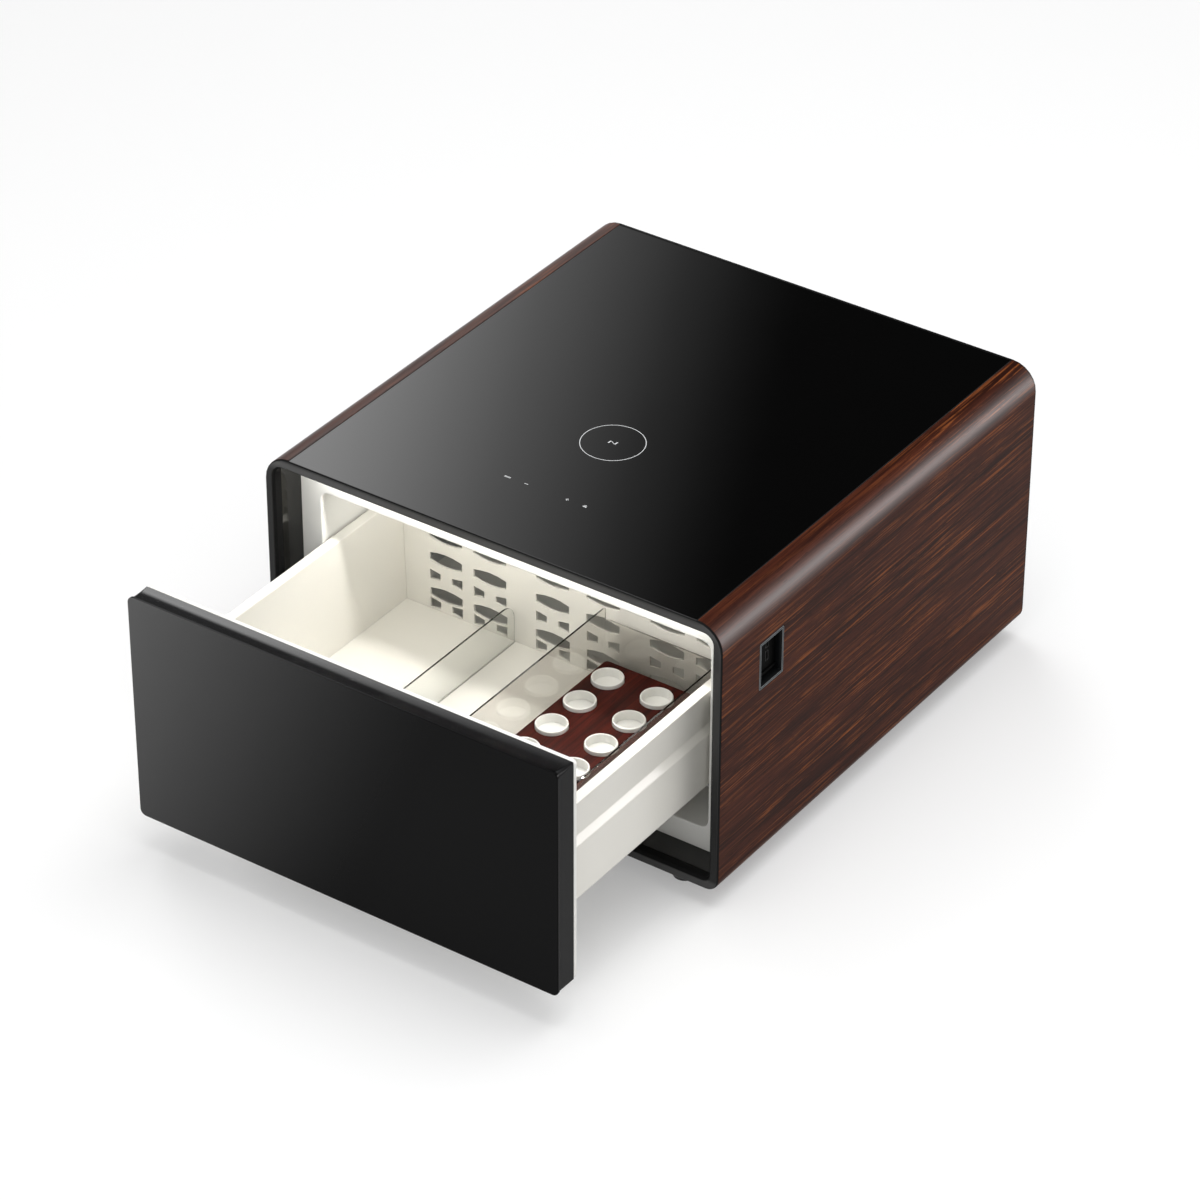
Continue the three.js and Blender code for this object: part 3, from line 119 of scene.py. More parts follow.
def range_in(tree, value, start, end, low=0.0, high=1.0, soft=False):
    """Carries a value from one range to another, and holds it past the ends."""
    feeds = {"Value": value, "From Min": start, "From Max": end, "To Min": low, "To Max": high}
    form = "SMOOTHSTEP" if soft else "LINEAR"
    return node_in(tree, "MapRange", feeds, interpolation_type=form).outputs[0]


def ramp_in(tree, value, stops, brightest=1.0):
    """Reads a level off a row of places and levels."""
    start, end = stops[0][0], stops[-1][0]
    ramp = node_in(tree, "ValToRGB", {"Fac": range_in(tree, value, start, end)})
    marks = ramp.color_ramp.elements
    for place, level in stops:
        share = (place - start) / (end - start)
        mark = marks[0] if place == start else marks[-1] if place == end else marks.new(share)
        mark.color = (*[level / brightest] * 3, 1.0)
    return ramp.outputs["Color"]


studio = bpy.data.worlds.new("studio_walls")
scene.world = studio
studio.use_nodes = True
walls = studio.node_tree
walls.nodes.clear()
looking = node_in(walls, "TexCoord").outputs["Generated"]


def looking_along(direction):
    feeds = {0: looking, 1: direction}
    return node_in(walls, "VectorMath", feeds, operation="DOT_PRODUCT").outputs["Value"]


ahead = looking_along(mirrored_ahead)
sideways = sum_in(walls, "DIVIDE", looking_along(slant), sum_in(walls, "MAXIMUM", ahead, 0.05))
edge_ramp = ramp_in(walls, sideways, edge_of_light, edge_brightness)
edge_light = sum_in(walls, "MULTIPLY", edge_ramp, edge_brightness)
left_fade = range_in(walls, sideways, -0.5, -0.25, 0.12, 1.0, soft=True)
right_rise = range_in(walls, sideways, 0.3, 0.9, 0.0, 0.9, soft=True)
dark_horizon = range_in(walls, looking_along((0.0, 0.0, 1.0)), 0.4, 0.5, 0.03, 1.0, soft=True)
left_light = sum_in(walls, "MULTIPLY", sum_in(walls, "MULTIPLY", edge_light, left_fade), dark_horizon)
rear_light = sum_in(walls, "ADD", left_light, right_rise)
rear_share = range_in(walls, ahead, 0.55, 0.8, soft=True)
wall_feeds = {0: rear_share, 2: front_brightness, 3: rear_light}
wall_light = node_in(walls, "Mix", wall_feeds, data_type="FLOAT").outputs[0]
wall_glow = node_in(walls, "Background", {"Color": (1.0, 1.0, 1.0, 1.0), "Strength": wall_light})
node_in(walls, "OutputWorld", {"Surface": wall_glow.outputs[0]})


def lamp(name, size, place, aim, power, colour=(1.0, 1.0, 1.0)):
    """A soft rectangular lamp, aimed at what it lights and unseen by the camera."""
    data = bpy.data.lights.new(name, "AREA")
    data.shape = "RECTANGLE"
    data.size, data.size_y = size
    data.energy = power
    data.color = colour
    made = bpy.data.objects.new(name, data)
    made.location = place
    made.rotation_euler = (Vector(aim) - Vector(place)).to_track_quat("-Z", "Y").to_euler()
    made.visible_camera = False
    things.link(made)
    return made


lamp("top_softbox", (2.4, 2.4), (0.5, 0.3, 3.2), (0.0, 0.0, 0.2), 52.0)
lamp("front_softbox", (1.6, 1.6), (0.8, -3.2, 1.8), (0.0, -0.2, 0.2), 13.0)
drawer_box = lamp("drawer_softbox", (0.8, 0.5), (0, -0.42, 1.9), (-0.02, -0.34, 0.1), 0.2, (1, 0.99, 0.96))
drawer_box.data.spread = radians(34)
lamp("strip_glow", (0.57, 0.006), (0.0, -0.161, 0.374), (0.0, -0.125, 0.2), 0.7, (1.0, 0.985, 0.95))
lamp("cavity_lamp", (0.5, 0.09), (0.0, -0.092, 0.329), (0.0, -0.092, 0.0), 0.31, (1.0, 0.985, 0.94))
edge_box = lamp("edge_softbox", (1.6, 0.5), (2.2, 1.6, 0.63), (0.32, -0.17, 0.38), 34.0, (1, 0.97, 0.97))
edge_box.visible_diffuse = False
edge_box.visible_transmission = False

floor_mesh = bpy.data.meshes.new("studio_floor")
floor_shape = bmesh.new()
bmesh.ops.create_grid(floor_shape, x_segments=8, y_segments=8, size=15.0)
floor_shape.to_mesh(floor_mesh)
floor_shape.free()
floor = bpy.data.objects.new("studio_floor", floor_mesh)
things.link(floor)

# The floor is white to the camera and in mirrors, takes the table's shadow, and is clear from below
floor_paint = bpy.data.materials.new("pale_floor")
floor_paint.use_nodes = True
paint = floor_paint.node_tree
paint.nodes.clear()
coat = node_in(paint, "BsdfDiffuse", {"Color": (0.66, 0.66, 0.66, 1.0)}).outputs[0]
lift = node_in(paint, "Emission", {"Strength": 0.29}).outputs[0]
rays = node_in(paint, "LightPath").outputs
seen = sum_in(paint, "MAXIMUM", rays["Is Camera Ray"], rays["Is Glossy Ray"])
seen = sum_in(paint, "MAXIMUM", seen, rays["Is Transmission Ray"])
lit = node_in(paint, "AddShader", {0: coat, 1: lift}).outputs[0]
upper = node_in(paint, "MixShader", {0: seen, 1: coat, 2: lit}).outputs[0]
underneath = node_in(paint, "NewGeometry").outputs["Backfacing"]
clear = node_in(paint, "BsdfTransparent").outputs[0]
both_sides = node_in(paint, "MixShader", {0: underneath, 1: upper, 2: clear}).outputs[0]
node_in(paint, "OutputMaterial", {"Surface": both_sides})
floor_mesh.materials.append(floor_paint)


# Base board and feet
# The cabinet stands on a black laminated base board and four moulded feet, each screwed up into
# the board and shod with a thin rubber sole.
front = -0.20365
base = 0.025
drawn = front - 0.2857
half_wide = 0.325


def group(name, inputs, outputs):
    """A node group that reads a place on the piece, and its inner sockets."""
    tree = bpy.data.node_groups.new(name, "ShaderNodeTree")
    tree.interface.new_socket("Vector", in_out="INPUT", socket_type="NodeSocketVector")
    for title, value in inputs.items():
        kind = "Float" if isinstance(value, float) else "Color"
        socket = tree.interface.new_socket(title, in_out="INPUT", socket_type=f"NodeSocket{kind}")
        socket.default_value = value
    for title in outputs:
        kind = "Color" if title == "Color" else "Float"
        tree.interface.new_socket(title, in_out="OUTPUT", socket_type=f"NodeSocket{kind}")
    return tree, tree.nodes.new("NodeGroupInput").outputs, tree.nodes.new("NodeGroupOutput").inputs


# Fine unevenness of a moulded or rolled surface: a cloudy tint, a cloudy gloss and a grain
uneven, uneven_in, uneven_out = group("surface_unevenness", {
    "Color": (0.5, 0.5, 0.5, 1.0), "Tint": 0.1, "Roughness": 0.4, "Spread": 0.06, "Grain Scale": 900.0,
}, ("Color", "Roughness", "Height"))
clouds = node_in(uneven, "TexNoise", {"Vector": uneven_in["Vector"], "Scale": 14.0, "Detail": 4.0})
grain = node_in(uneven, "TexNoise", {
    "Vector": uneven_in["Vector"], "Scale": uneven_in["Grain Scale"], "Detail": 2.0,
})
centred = sum_in(uneven, "SUBTRACT", clouds.outputs["Fac"], 0.5)
cloudy_tint = sum_in(uneven, "MULTIPLY_ADD", centred, uneven_in["Tint"], 1.0)
cloudy_gloss = sum_in(uneven, "MULTIPLY_ADD", centred, uneven_in["Spread"], uneven_in["Roughness"])
tinted = node_in(uneven, "HueSaturation", {"Value": cloudy_tint, "Color": uneven_in["Color"]})
uneven.links.new(tinted.outputs[0], uneven_out["Color"])
uneven.links.new(cloudy_gloss, uneven_out["Roughness"])
uneven.links.new(grain.outputs["Fac"], uneven_out["Height"])


def feed(material, **values):
    """Feeds the inputs of a material's own shader."""
    tree = material.node_tree
    feeds = {title.replace("_", " "): value for title, value in values.items()}
    fill(tree, tree.nodes["Principled BSDF"], feeds)


def finish(name, specular=0.5, **fixed):
    """A new material, its tree, and the place on a piece that its pattern follows."""
    made = bpy.data.materials.new(name)
    made.use_nodes = True
    feed(made, Specular_IOR_Level=specular, **fixed)
    return made, made.node_tree, node_in(made.node_tree, "TexCoord").outputs["Object"]


def lay(material, skin, bump):
    """Feeds a material's colour and gloss from a group, and its relief unless bump is None."""
    feed(material, Base_Color=skin.outputs["Color"], Roughness=skin.outputs["Roughness"])
    if bump is not None:
        heights = {"Height": skin.outputs["Height"], "Distance": bump, "Strength": 1.0}
        feed(material, Normal=node_in(material.node_tree, "Bump", heights).outputs[0])


def plain(name, colour, roughness, tint=0.12, spread=0.08, grain_scale=900.0, bump=0.00004, **fixed):
    """A moulded, painted or rolled finish of one colour."""
    made, tree, place = finish(name, **fixed)
    skin = node_in(tree, "Group", {
        "Vector": place, "Color": (*colour, 1.0), "Tint": tint, "Roughness": roughness,
        "Spread": spread, "Grain Scale": grain_scale,
    }, node_tree=uneven)
    lay(made, skin, bump)
    return made


def dress(material, *nodes):
    """Gives CAD nodes whose shape is right their finish."""
    for name in nodes:
        for place in frame["nodes"][name].material_slots:
            place.link = "OBJECT"
            place.material = material


def closed_up(shape):
    """Merges points that meet, and turns the faces outwards."""
    bmesh.ops.remove_doubles(shape, verts=shape.verts, dist=1e-6)
    bmesh.ops.recalc_face_normals(shape, faces=shape.faces)
    return shape


def keep(shape, name, material, slot, *stands_for, body="cabinet", angle=35.0):
    """Makes a shape a piece of the table, with soft shading across its shallow edges."""
    closed_up(shape)
    mesh = bpy.data.meshes.new(name)
    shape.to_mesh(mesh)
    shape.free()
    mesh.polygons.foreach_set("use_smooth", [True] * len(mesh.polygons))
    mesh.set_sharp_from_angle(angle=radians(angle))
    mesh.materials.append(material)
    piece = bpy.data.objects.new(name, mesh)
    things.link(piece)
    flats = piece.modifiers.new("flats_stay_flat", "WEIGHTED_NORMAL")
    flats.keep_sharp = True
    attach(piece, body)
    if stands_for:
        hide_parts(*stands_for)


def turned(shape, profile, place=Matrix.Identity(4), steps=48):
    """Turns a profile of radii and heights about Z, and sets the form in its place."""
    known = set(shape.verts)
    points = [shape.verts.new((radius, 0.0, height)) for radius, height in profile]
    lines = [shape.edges.new(pair) for pair in zip(points, points[1:])]
    bmesh.ops.spin(
        shape, geom=[*points, *lines], cent=(0.0, 0.0, 0.0), axis=(0.0, 0.0, 1.0), angle=2 * pi,
        steps=steps, use_merge=True,
    )
    made = [v for v in shape.verts if v not in known]
    bmesh.ops.transform(shape, matrix=place, verts=made)
    return shape


matte_black = plain("matte_black_plastic", (0.018, 0.018, 0.019), 0.62, grain_scale=1400.0, bump=0.00012)
sole_rubber = plain("sole_rubber", (0.012, 0.012, 0.012), 0.85, grain_scale=2200.0, bump=0.0002)
dress(matte_black, "base_board")
foot_parts = (
    ("cup", matte_black, [
        (0.0, 0.0032), (0.0148, 0.0032), (0.0156, 0.0036), (0.016, 0.0044), (0.0275, 0.0236),
        (0.0278, 0.0242), (0.0274, 0.0247), (0.0, 0.0247),
    ]),
    ("sole", sole_rubber, [
        (0.0, 0.0), (0.0126, 0.0), (0.0136, 0.0003), (0.0142, 0.0009), (0.0145, 0.0018),
        (0.0145, 0.003), (0.0, 0.003),
    ]),
)
for row, depth in (("front", front + 0.038), ("rear", front + 0.655)):
    for side, across in (("left", -0.255), ("right", 0.255)):
        foot = f"foot_{row}_{side}"
        for part, material, profile in foot_parts:
            form = turned(bmesh.new(), profile, Matrix.Translation((across, depth, 0.0)))
            keep(form, f"{foot}_{part}", material, "matte_black", foot)


# Side wraps
# Bent plywood panels with a dark rosewood veneer, satin lacquered. Each runs from the glass round
# the long top edge, down the side and under the lower edge to the base board.
wrap_front = front + 0.0033
wrap_rear = front + 0.6897
wrap_edge = 0.2903
wrap_top = base + 0.37
wrap_top_radius = 0.0347
wrap_low_radius = 0.017
wrap_thickness = 0.009
port_middle = (front + 0.1055, base + 0.2735)
port_hole_half = (0.0253, 0.0323)
pore_depth = 0.00004

veneer, veneer_in, veneer_out = group("veneer_figure", {
    "Dark": (0.02, 0.01, 0.01, 1.0), "Middle": (0.07, 0.03, 0.02, 1.0), "Light": (0.2, 0.08, 0.03, 1.0),
}, ("Color", "Roughness", "Height"))


def stretched_noise(stretch, scale, detail, distortion=0.0):
    """Noise drawn out along the panel's length, as a tree's fibres run."""
    feeds = {"Vector": veneer_in["Vector"], "Scale": (1.0, stretch, 1.0)}
    laid = node_in(veneer, "Mapping", feeds).outputs[0]
    return node_in(veneer, "TexNoise", {
        "Vector": laid, "Scale": scale, "Detail": detail, "Roughness": 0.6, "Distortion": distortion,
    }).outputs["Fac"]


def mix_in(tree, share, first, second, blend_type="MIX"):
    feeds = {0: share, 6: first, 7: second}
    return node_in(tree, "Mix", feeds, data_type="RGBA", blend_type=blend_type).outputs[2]


bands = range_in(veneer, stretched_noise(0.022, 140.0, 6.0), 0.36, 0.64)
bundles = range_in(veneer, stretched_noise(0.2, 11.0, 3.0, 0.3), 0.42, 0.6)
streaks = range_in(veneer, stretched_noise(0.02, 420.0, 4.0), 0.52, 0.7)
fibres = stretched_noise(0.014, 900.0, 3.0)
pores = range_in(veneer, stretched_noise(0.05, 900.0, 2.0), 0.6, 0.68)
ground = mix_in(veneer, bands, veneer_in["Dark"], veneer_in["Middle"])
streak_share = sum_in(veneer, "MULTIPLY", streaks, sum_in(veneer, "MULTIPLY_ADD", bundles, 0.8, 0.2))
figured = mix_in(veneer, streak_share, ground, veneer_in["Light"])
fibre_light = range_in(veneer, fibres, 0.0, 1.0, 0.45, 1.55)
fibred = node_in(veneer, "HueSaturation", {"Value": fibre_light, "Color": figured}).outputs[0]
veneer.links.new(mix_in(veneer, pores, fibred, veneer_in["Dark"]), veneer_out["Color"])
veneer.links.new(range_in(veneer, fibres, 0.0, 1.0, 0.3, 0.42), veneer_out["Roughness"])
veneer.links.new(fibres, veneer_out["Height"])


def veneered(name, dark, middle, light, **fixed):
    """A figured wood finish in three colours, with open pores."""
    made, tree, place = finish(name, **fixed)
    figure = node_in(tree, "Group", {
        "Vector": place, "Dark": (*dark, 1.0), "Middle": (*middle, 1.0), "Light": (*light, 1.0),
    }, node_tree=veneer)
    lay(made, figure, pore_depth)
    return made


def spot_in(tree):
    """The place on a piece, as X, Y and Z."""
    place = node_in(tree, "TexCoord").outputs["Object"]
    return node_in(tree, "SeparateXYZ", {0: place}).outputs


rosewood = veneered(
    "rosewood_veneer", (0.02, 0.0052, 0.003), (0.064, 0.0165, 0.0082), (0.25, 0.073, 0.02),
    specular=0.03, Coat_Roughness=0.48,
)

# The lacquer is thick on the bend, rubbed thin on the sides and along the right glass edge
wood = rosewood.node_tree
wood_spot = spot_in(wood)
bend_foot = wrap_top - wrap_top_radius - 0.004
on_bend = range_in(wood, wood_spot["Z"], bend_foot, wrap_top - 0.02, soft=True)
below_glass = range_in(wood, wood_spot["Z"], wrap_top - 0.0135, wrap_top - 0.002, 1.0, 0.03, soft=True)
on_left = range_in(wood, wood_spot["X"], -0.1, 0.1, 1.0, 0.0, soft=True)
unrubbed = sum_in(wood, "MAXIMUM", below_glass, on_left)
feed(rosewood, Coat_Weight=sum_in(wood, "MULTIPLY", on_bend, unrubbed))


def verts_in(geom):
    return [g for g in geom if isinstance(g, bmesh.types.BMVert)]


def edges_in(geom):
    return [g for g in geom if isinstance(g, bmesh.types.BMEdge)]


def pulled(shape, edges):
    """Extrudes a row of edges, and gives the new row's points and edges."""
    geom = bmesh.ops.extrude_edge_only(shape, edges=edges)["geom"]
    points = verts_in(geom)
    fresh = set(points)
    return points, [e for e in edges_in(geom) if all(v in fresh for v in e.verts)]


def bent(shape, geom, centre, hand, angle, steps):
    """Bends a row of edges about a line along the table, and gives the row's last edges."""
    axis = (0.0, hand, 0.0)
    spun = bmesh.ops.spin(shape, geom=geom, cent=centre, axis=axis, angle=angle, steps=steps)
    return edges_in(spun["geom_last"])


def rounded(shape, geom, radius, segments, affect="EDGES"):
    bmesh.ops.bevel(
        shape, geom=geom, offset=radius, offset_type="OFFSET", affect=affect, segments=segments,
        profile=0.5, material=-1, clamp_overlap=True,
    )


def ease(shape, radius, segments=2, least=40.0, where=None):
    """Rounds the edges sharper than an angle, of the whole shape or of one part of it."""
    sharp = [
        e for e in shape.edges
        if e.is_manifold and e.calc_face_angle() > radians(least)
        and (where is None or where((e.verts[0].co + e.verts[1].co) / 2))
    ]
    rounded(shape, sharp, radius, segments)
    return shape


def cut_port_hole(shape):
    """Cuts the charging port's hole through the right panel's skin."""
    sides = zip((1, 2), port_middle, port_hole_half)
    limits = [(axis, middle - half, middle + half) for axis, middle, half in sides]
    for axis, low, high in limits:
        normal = Vector((0.0, 0.0, 0.0))
        normal[axis] = 1.0
        for limit in (low, high):
            whole = [*shape.verts, *shape.edges, *shape.faces]
            bmesh.ops.bisect_plane(shape, geom=whole, plane_co=normal * limit, plane_no=normal, dist=1e-6)
    gap = [
        f for f in shape.faces
        if all(low < f.calc_center_median()[axis] < high for axis, low, high in limits)
        and f.calc_center_median().x > half_wide - 0.001
    ]
    bmesh.ops.delete(shape, geom=gap, context="FACES")


def bent_panel(side):
    """The panel's skin swept along its section, then given its thickness."""
    shape = bmesh.new()
    ends = [shape.verts.new((side * wrap_edge, y, wrap_top)) for y in (wrap_front, wrap_rear)]
    line = shape.edges.new(ends)
    top_centre = (side * wrap_edge, 0.0, wrap_top - wrap_top_radius)
    top_bend = bent(shape, [line, *ends], top_centre, side, pi / 2, 20)
    lowered, low_line = pulled(shape, top_bend)
    for vert in lowered:
        vert.co.z = base + wrap_low_radius
    low_centre = (side * (half_wide - wrap_low_radius), 0.0, base + wrap_low_radius)
    low_bend = bent(shape, [*low_line, *lowered], low_centre, side, pi / 2, 12)
    for vert in pulled(shape, low_bend)[0]:
        vert.co.x = side * wrap_edge
    if side > 0:
        cut_port_hole(shape)
    closed_up(shape)
    upper_face = max(shape.faces, key=lambda f: f.calc_center_median().z)
    if upper_face.normal.z < 0:
        bmesh.ops.reverse_faces(shape, faces=shape.faces)
    bmesh.ops.solidify(shape, geom=shape.faces[:], thickness=wrap_thickness)
    return ease(shape, 0.0005, 2, 60.0)


for side, hand in (("left", -1), ("right", 1)):
    keep(bent_panel(hand), f"wood_wrap_{side}", rosewood, "wood_wrap", f"side_wrap_{side}")


# Front bezel and rear frame
# Cast frames in satin dark enamel that close the ends of the wraps and hold the top glass between
# them. Their faces are flat, with a rounded outer edge and a chamfer into the opening.
# Painted reflection: a lighter grey painted on a dark finish's front face, strongest at its upper left and
# fading across it, in place of a studio reflection
painted_reflection, painted_reflection_in, painted_reflection_out = group("painted_reflection_fade", {
    "Left": -0.3, "Reach": 0.45, "Top": 0.35, "Slant": 0.45, "Level": 0.1, "Face": 0.0,
    "Ground": (0.0, 0.0, 0.0, 1.0),
}, ("Color", "Behind"))


def grey_in(tree, level):
    return node_in(tree, "CombineColor", {0: level, 1: level, 2: level}).outputs[0]


spot = node_in(painted_reflection, "SeparateXYZ", {0: painted_reflection_in["Vector"]}).outputs
from_left = sum_in(painted_reflection, "SUBTRACT", spot["X"], painted_reflection_in["Left"])
from_top = sum_in(painted_reflection, "SUBTRACT", painted_reflection_in["Top"], spot["Z"])
slanted = sum_in(painted_reflection, "MULTIPLY_ADD", from_top, painted_reflection_in["Slant"], from_left)
left_over = sum_in(painted_reflection, "SUBTRACT", 1.0, sum_in(painted_reflection, "DIVIDE", slanted, painted_reflection_in["Reach"]))
faded = sum_in(painted_reflection, "POWER", sum_in(painted_reflection, "MAXIMUM", left_over, 0.0), 1.6)
behind_face = sum_in(painted_reflection, "SUBTRACT", spot["Y"], painted_reflection_in["Face"])
on_face = range_in(painted_reflection, behind_face, 0.0002, 0.001, 1.0, 0.0)
painted_reflection_level = sum_in(painted_reflection, "MULTIPLY", faded, sum_in(painted_reflection, "MULTIPLY", on_face, painted_reflection_in["Level"]))
painted_reflection_grey = mix_in(painted_reflection, 1.0, painted_reflection_in["Ground"], grey_in(painted_reflection, painted_reflection_level), "ADD")
painted_reflection.links.new(painted_reflection_grey, painted_reflection_out["Color"])
painted_reflection.links.new(sum_in(painted_reflection, "SUBTRACT", 1.0, on_face), painted_reflection_out["Behind"])


def painted_reflection_finish(name, ground, roughness, spread_of_painted_reflection, behind=0.0, **fixed):
    """A dark finish with a painted reflection, a lighter grey on the piece's front face, and rougher behind
    the face.
    """
    made, tree, place = finish(name, **fixed)
    fade = node_in(tree, "Group", {
        "Vector": place, "Ground": (*ground, 1.0), **spread_of_painted_reflection,
    }, node_tree=painted_reflection, name="painted_reflection")
    skin = node_in(tree, "Group", {
        "Vector": place, "Color": fade.outputs["Color"], "Tint": 0.06, "Roughness": roughness,
        "Spread": 0.02,
    }, node_tree=uneven)
    rougher = sum_in(tree, "MULTIPLY_ADD", fade.outputs["Behind"], behind, skin.outputs["Roughness"])
    feed(made, Base_Color=skin.outputs["Color"], Roughness=rougher)
    return made


# The bezel's face carries painted highlights and a painted reflection: lighter bands along its top and
# foot, set by height over the base, and duller at its left. A dark line follows the joint to the glass.
painted_highlight_tones = [
    (0.0, 0.05), (0.011, 0.05), (0.016, 0.009), (0.09, 0.008), (0.15, 0.014), (0.225, 0.033),
    (0.32, 0.038), (0.35, 0.05), (0.358, 0.078), (0.3645, 0.08), (0.3675, 0.056), (0.3691, 0.014),
    (0.37, 0.004),
]
enamel_black = (0.003, 0.003, 0.003)
dark_enamel = painted_reflection_finish("dark_enamel", enamel_black, 0.24, {
    "Left": -half_wide, "Reach": 1000.0, "Top": wrap_top, "Slant": 0.0, "Level": 0.0, "Face": front,
}, 0.6, specular=0.16)
enamel = dark_enamel.node_tree
enamel_spot = spot_in(enamel)
painted_tone = ramp_in(enamel, enamel_spot["Z"], [(base + height, level) for height, level in painted_highlight_tones])
painted_fade_across = range_in(enamel, enamel_spot["X"], -0.3, 0.25, 0.42, 1.0)
painted_top_band = range_in(enamel, enamel_spot["Z"], base + 0.345, base + 0.36)
painted_side_share = sum_in(enamel, "MAXIMUM", painted_fade_across, painted_top_band)
painted_bezel_sheen = sum_in(enamel, "MULTIPLY", painted_tone, painted_side_share)
enamel.links.new(painted_bezel_sheen, enamel.nodes["painted_reflection"].inputs["Level"])
rear_enamel = plain("rear_enamel", enamel_black, 0.24, tint=0.06, spread=0.02, bump=0.0, specular=0.16)


def merged_copy(node):
    """A CAD node's shape with its doubles merged and its flats whole."""
    shape = bmesh.new()
    shape.from_mesh(frame["nodes"][node].data)
    bmesh.ops.remove_doubles(shape, verts=shape.verts, dist=1e-6)
    bmesh.ops.dissolve_limit(
        shape, angle_limit=radians(1.0), verts=shape.verts, edges=shape.edges, delimit={"NORMAL"},
    )
    return shape


def eased(node, name, material, slot, radius, segments=2, least=60.0, body="cabinet", angle=35.0):
    """Keeps a CAD node's shape as a piece of its own, with its sharp edges eased."""
    shape = ease(merged_copy(node), radius, segments, least)
    keep(shape, name, material, slot, node, body=body, angle=angle)


eased("front_bezel", "bezel", dark_enamel, "dark_frame", 0.0004)
eased("rear_frame", "back_frame", rear_enamel, "dark_frame", 0.0004)


# Throat collar and light strip
# A glossy black moulded sleeve lines the throat between the bezel and the cold cavity. A white
# diffuser strip is clipped into its ceiling.
mould_wall = 0.0012
least_corner = 0.0006


def grown(outline, amount):
    """An outline (half width, foot, top, upper and lower corner radius) made larger all round."""
    half, low, high, *radii = outline
    return (half + amount, low - amount, high + amount, *[max(r + amount, least_corner) for r in radii])


def stations(outline, *steps):
    """Stations of one outline, each made larger by an amount at a depth."""
    return [(grown(outline, amount), depth) for amount, depth in steps]


def outline_points(outline, depth, steps):
    """The points round an outline across the table, from its left side's low end."""
    half, low, high, top_radius, low_radius = outline
    flat = bmesh.new()
    corners = [
        flat.verts.new((x, depth, z)) for x, z in ((-half, low), (half, low), (half, high), (-half, high))
    ]
    flat.faces.new(corners)
    for pair, radius in ((corners[:2], low_radius), (corners[2:], top_radius)):
        rounded(flat, pair, radius, steps, "VERTICES")
    points = [corner.vert.co.copy() for corner in flat.faces[:][0].loops]
    flat.free()
    start = min(range(len(points)), key=lambda index: points[index].x + 0.001 * points[index].z)
    return points[start:] + points[:start]


def skinned(path, closed, steps=10):
    """An outline extruded from station to station into a ring, or a solid with closed ends."""
    rows = [outline_points(outline, depth, steps) for outline, depth in path]
    shape = bmesh.new()
    rim = [shape.verts.new(point) for point in rows[0]]
    cap = shape.faces.new(rim)
    edges = list(cap.edges)
    if closed:
        bmesh.ops.delete(shape, geom=[cap], context="FACES_ONLY")
    for row in rows[1:] + (rows[:1] if closed else []):
        points, edges = pulled(shape, edges)
        fresh = set(points)
        rim = [next(e.other_vert(old) for e in old.link_edges if e.other_vert(old) in fresh) for old in rim]
        for vert, point in zip(rim, row):
            vert.co = point
    if not closed:
        shape.faces.new(rim)
    return closed_up(shape)


throat = (0.312, base + 0.014, base + 0.3555, 0.0135, 0.009)
throat_rear = (0.3085, *throat[1:])
throat_start = front + 0.0143
throat_end = front + 0.0477
gloss_black = plain(
    "gloss_black_moulding", (0.006, 0.006, 0.0055), 0.1, tint=0.05, spread=0.04, bump=1e-5, specular=0.45,
)
collar = skinned([
    (grown(throat_rear, mould_wall), throat_end), (grown(throat, mould_wall), throat_start),
    (throat, throat_start), (throat_rear, throat_end),
], True)
keep(ease(collar, 0.0003), "throat_sleeve", gloss_black, "gloss_black", "throat_collar")

light_white, light_tree, light_place = finish("light_diffuser", Roughness=0.5, Emission_Strength=1.6)
prisms = node_in(light_tree, "TexWave", {"Vector": light_place, "Scale": 160.0})
prism_light = grey_in(light_tree, range_in(light_tree, prisms.outputs["Fac"], 0.0, 1.0, 0.78, 1.0))
feed(light_white, Base_Color=prism_light, Emission_Color=prism_light)


def slab(low, high, shape=None):
    """A block between two opposite corners, alone or added to a shape."""
    shape = shape or bmesh.new()
    low, high = Vector(low), Vector(high)
    stretch = Matrix.LocRotScale((low + high) / 2, None, high - low)
    bmesh.ops.create_cube(shape, size=1.0, matrix=stretch)
    return shape


strip = slab((-0.296, front + 0.038, base + 0.3512), (0.296, front + 0.046, base + 0.3552))
keep(ease(strip, 0.0012, 4), "diffuser_strip", light_white, "light", "light_strip")


# Inner liner and insulation
# One vacuum-formed white liner makes the cold cavity and the flange that the seal meets. Rigid
# foam is poured between it and the shell.
cavity = (0.279, base + 0.0448, base + 0.307, 0.012, 0.012)
cavity_rear = front + 0.505
flange_front = front + 0.048
liner_wall = 0.0025
liner_fillet = 0.014
mouth_radius = 0.002


def quarter_turn(steps):
    return [step / steps * pi / 2 for step in range(steps + 1)]


def filleted(outline, radius, rear):
    """Stations that carry a wall round a fillet on to its end."""
    steps = [(radius * (cos(t) - 1), rear - radius * (1 - sin(t))) for t in quarter_turn(8)]
    return stations(outline, *steps)


def mouth(outline, radius, face):
    """Stations that carry a flange round its inner edge into the cavity."""
    steps = [(radius * (1 - sin(t)), face + radius * (1 - cos(t))) for t in quarter_turn(5)]
    return stations(outline, *steps)


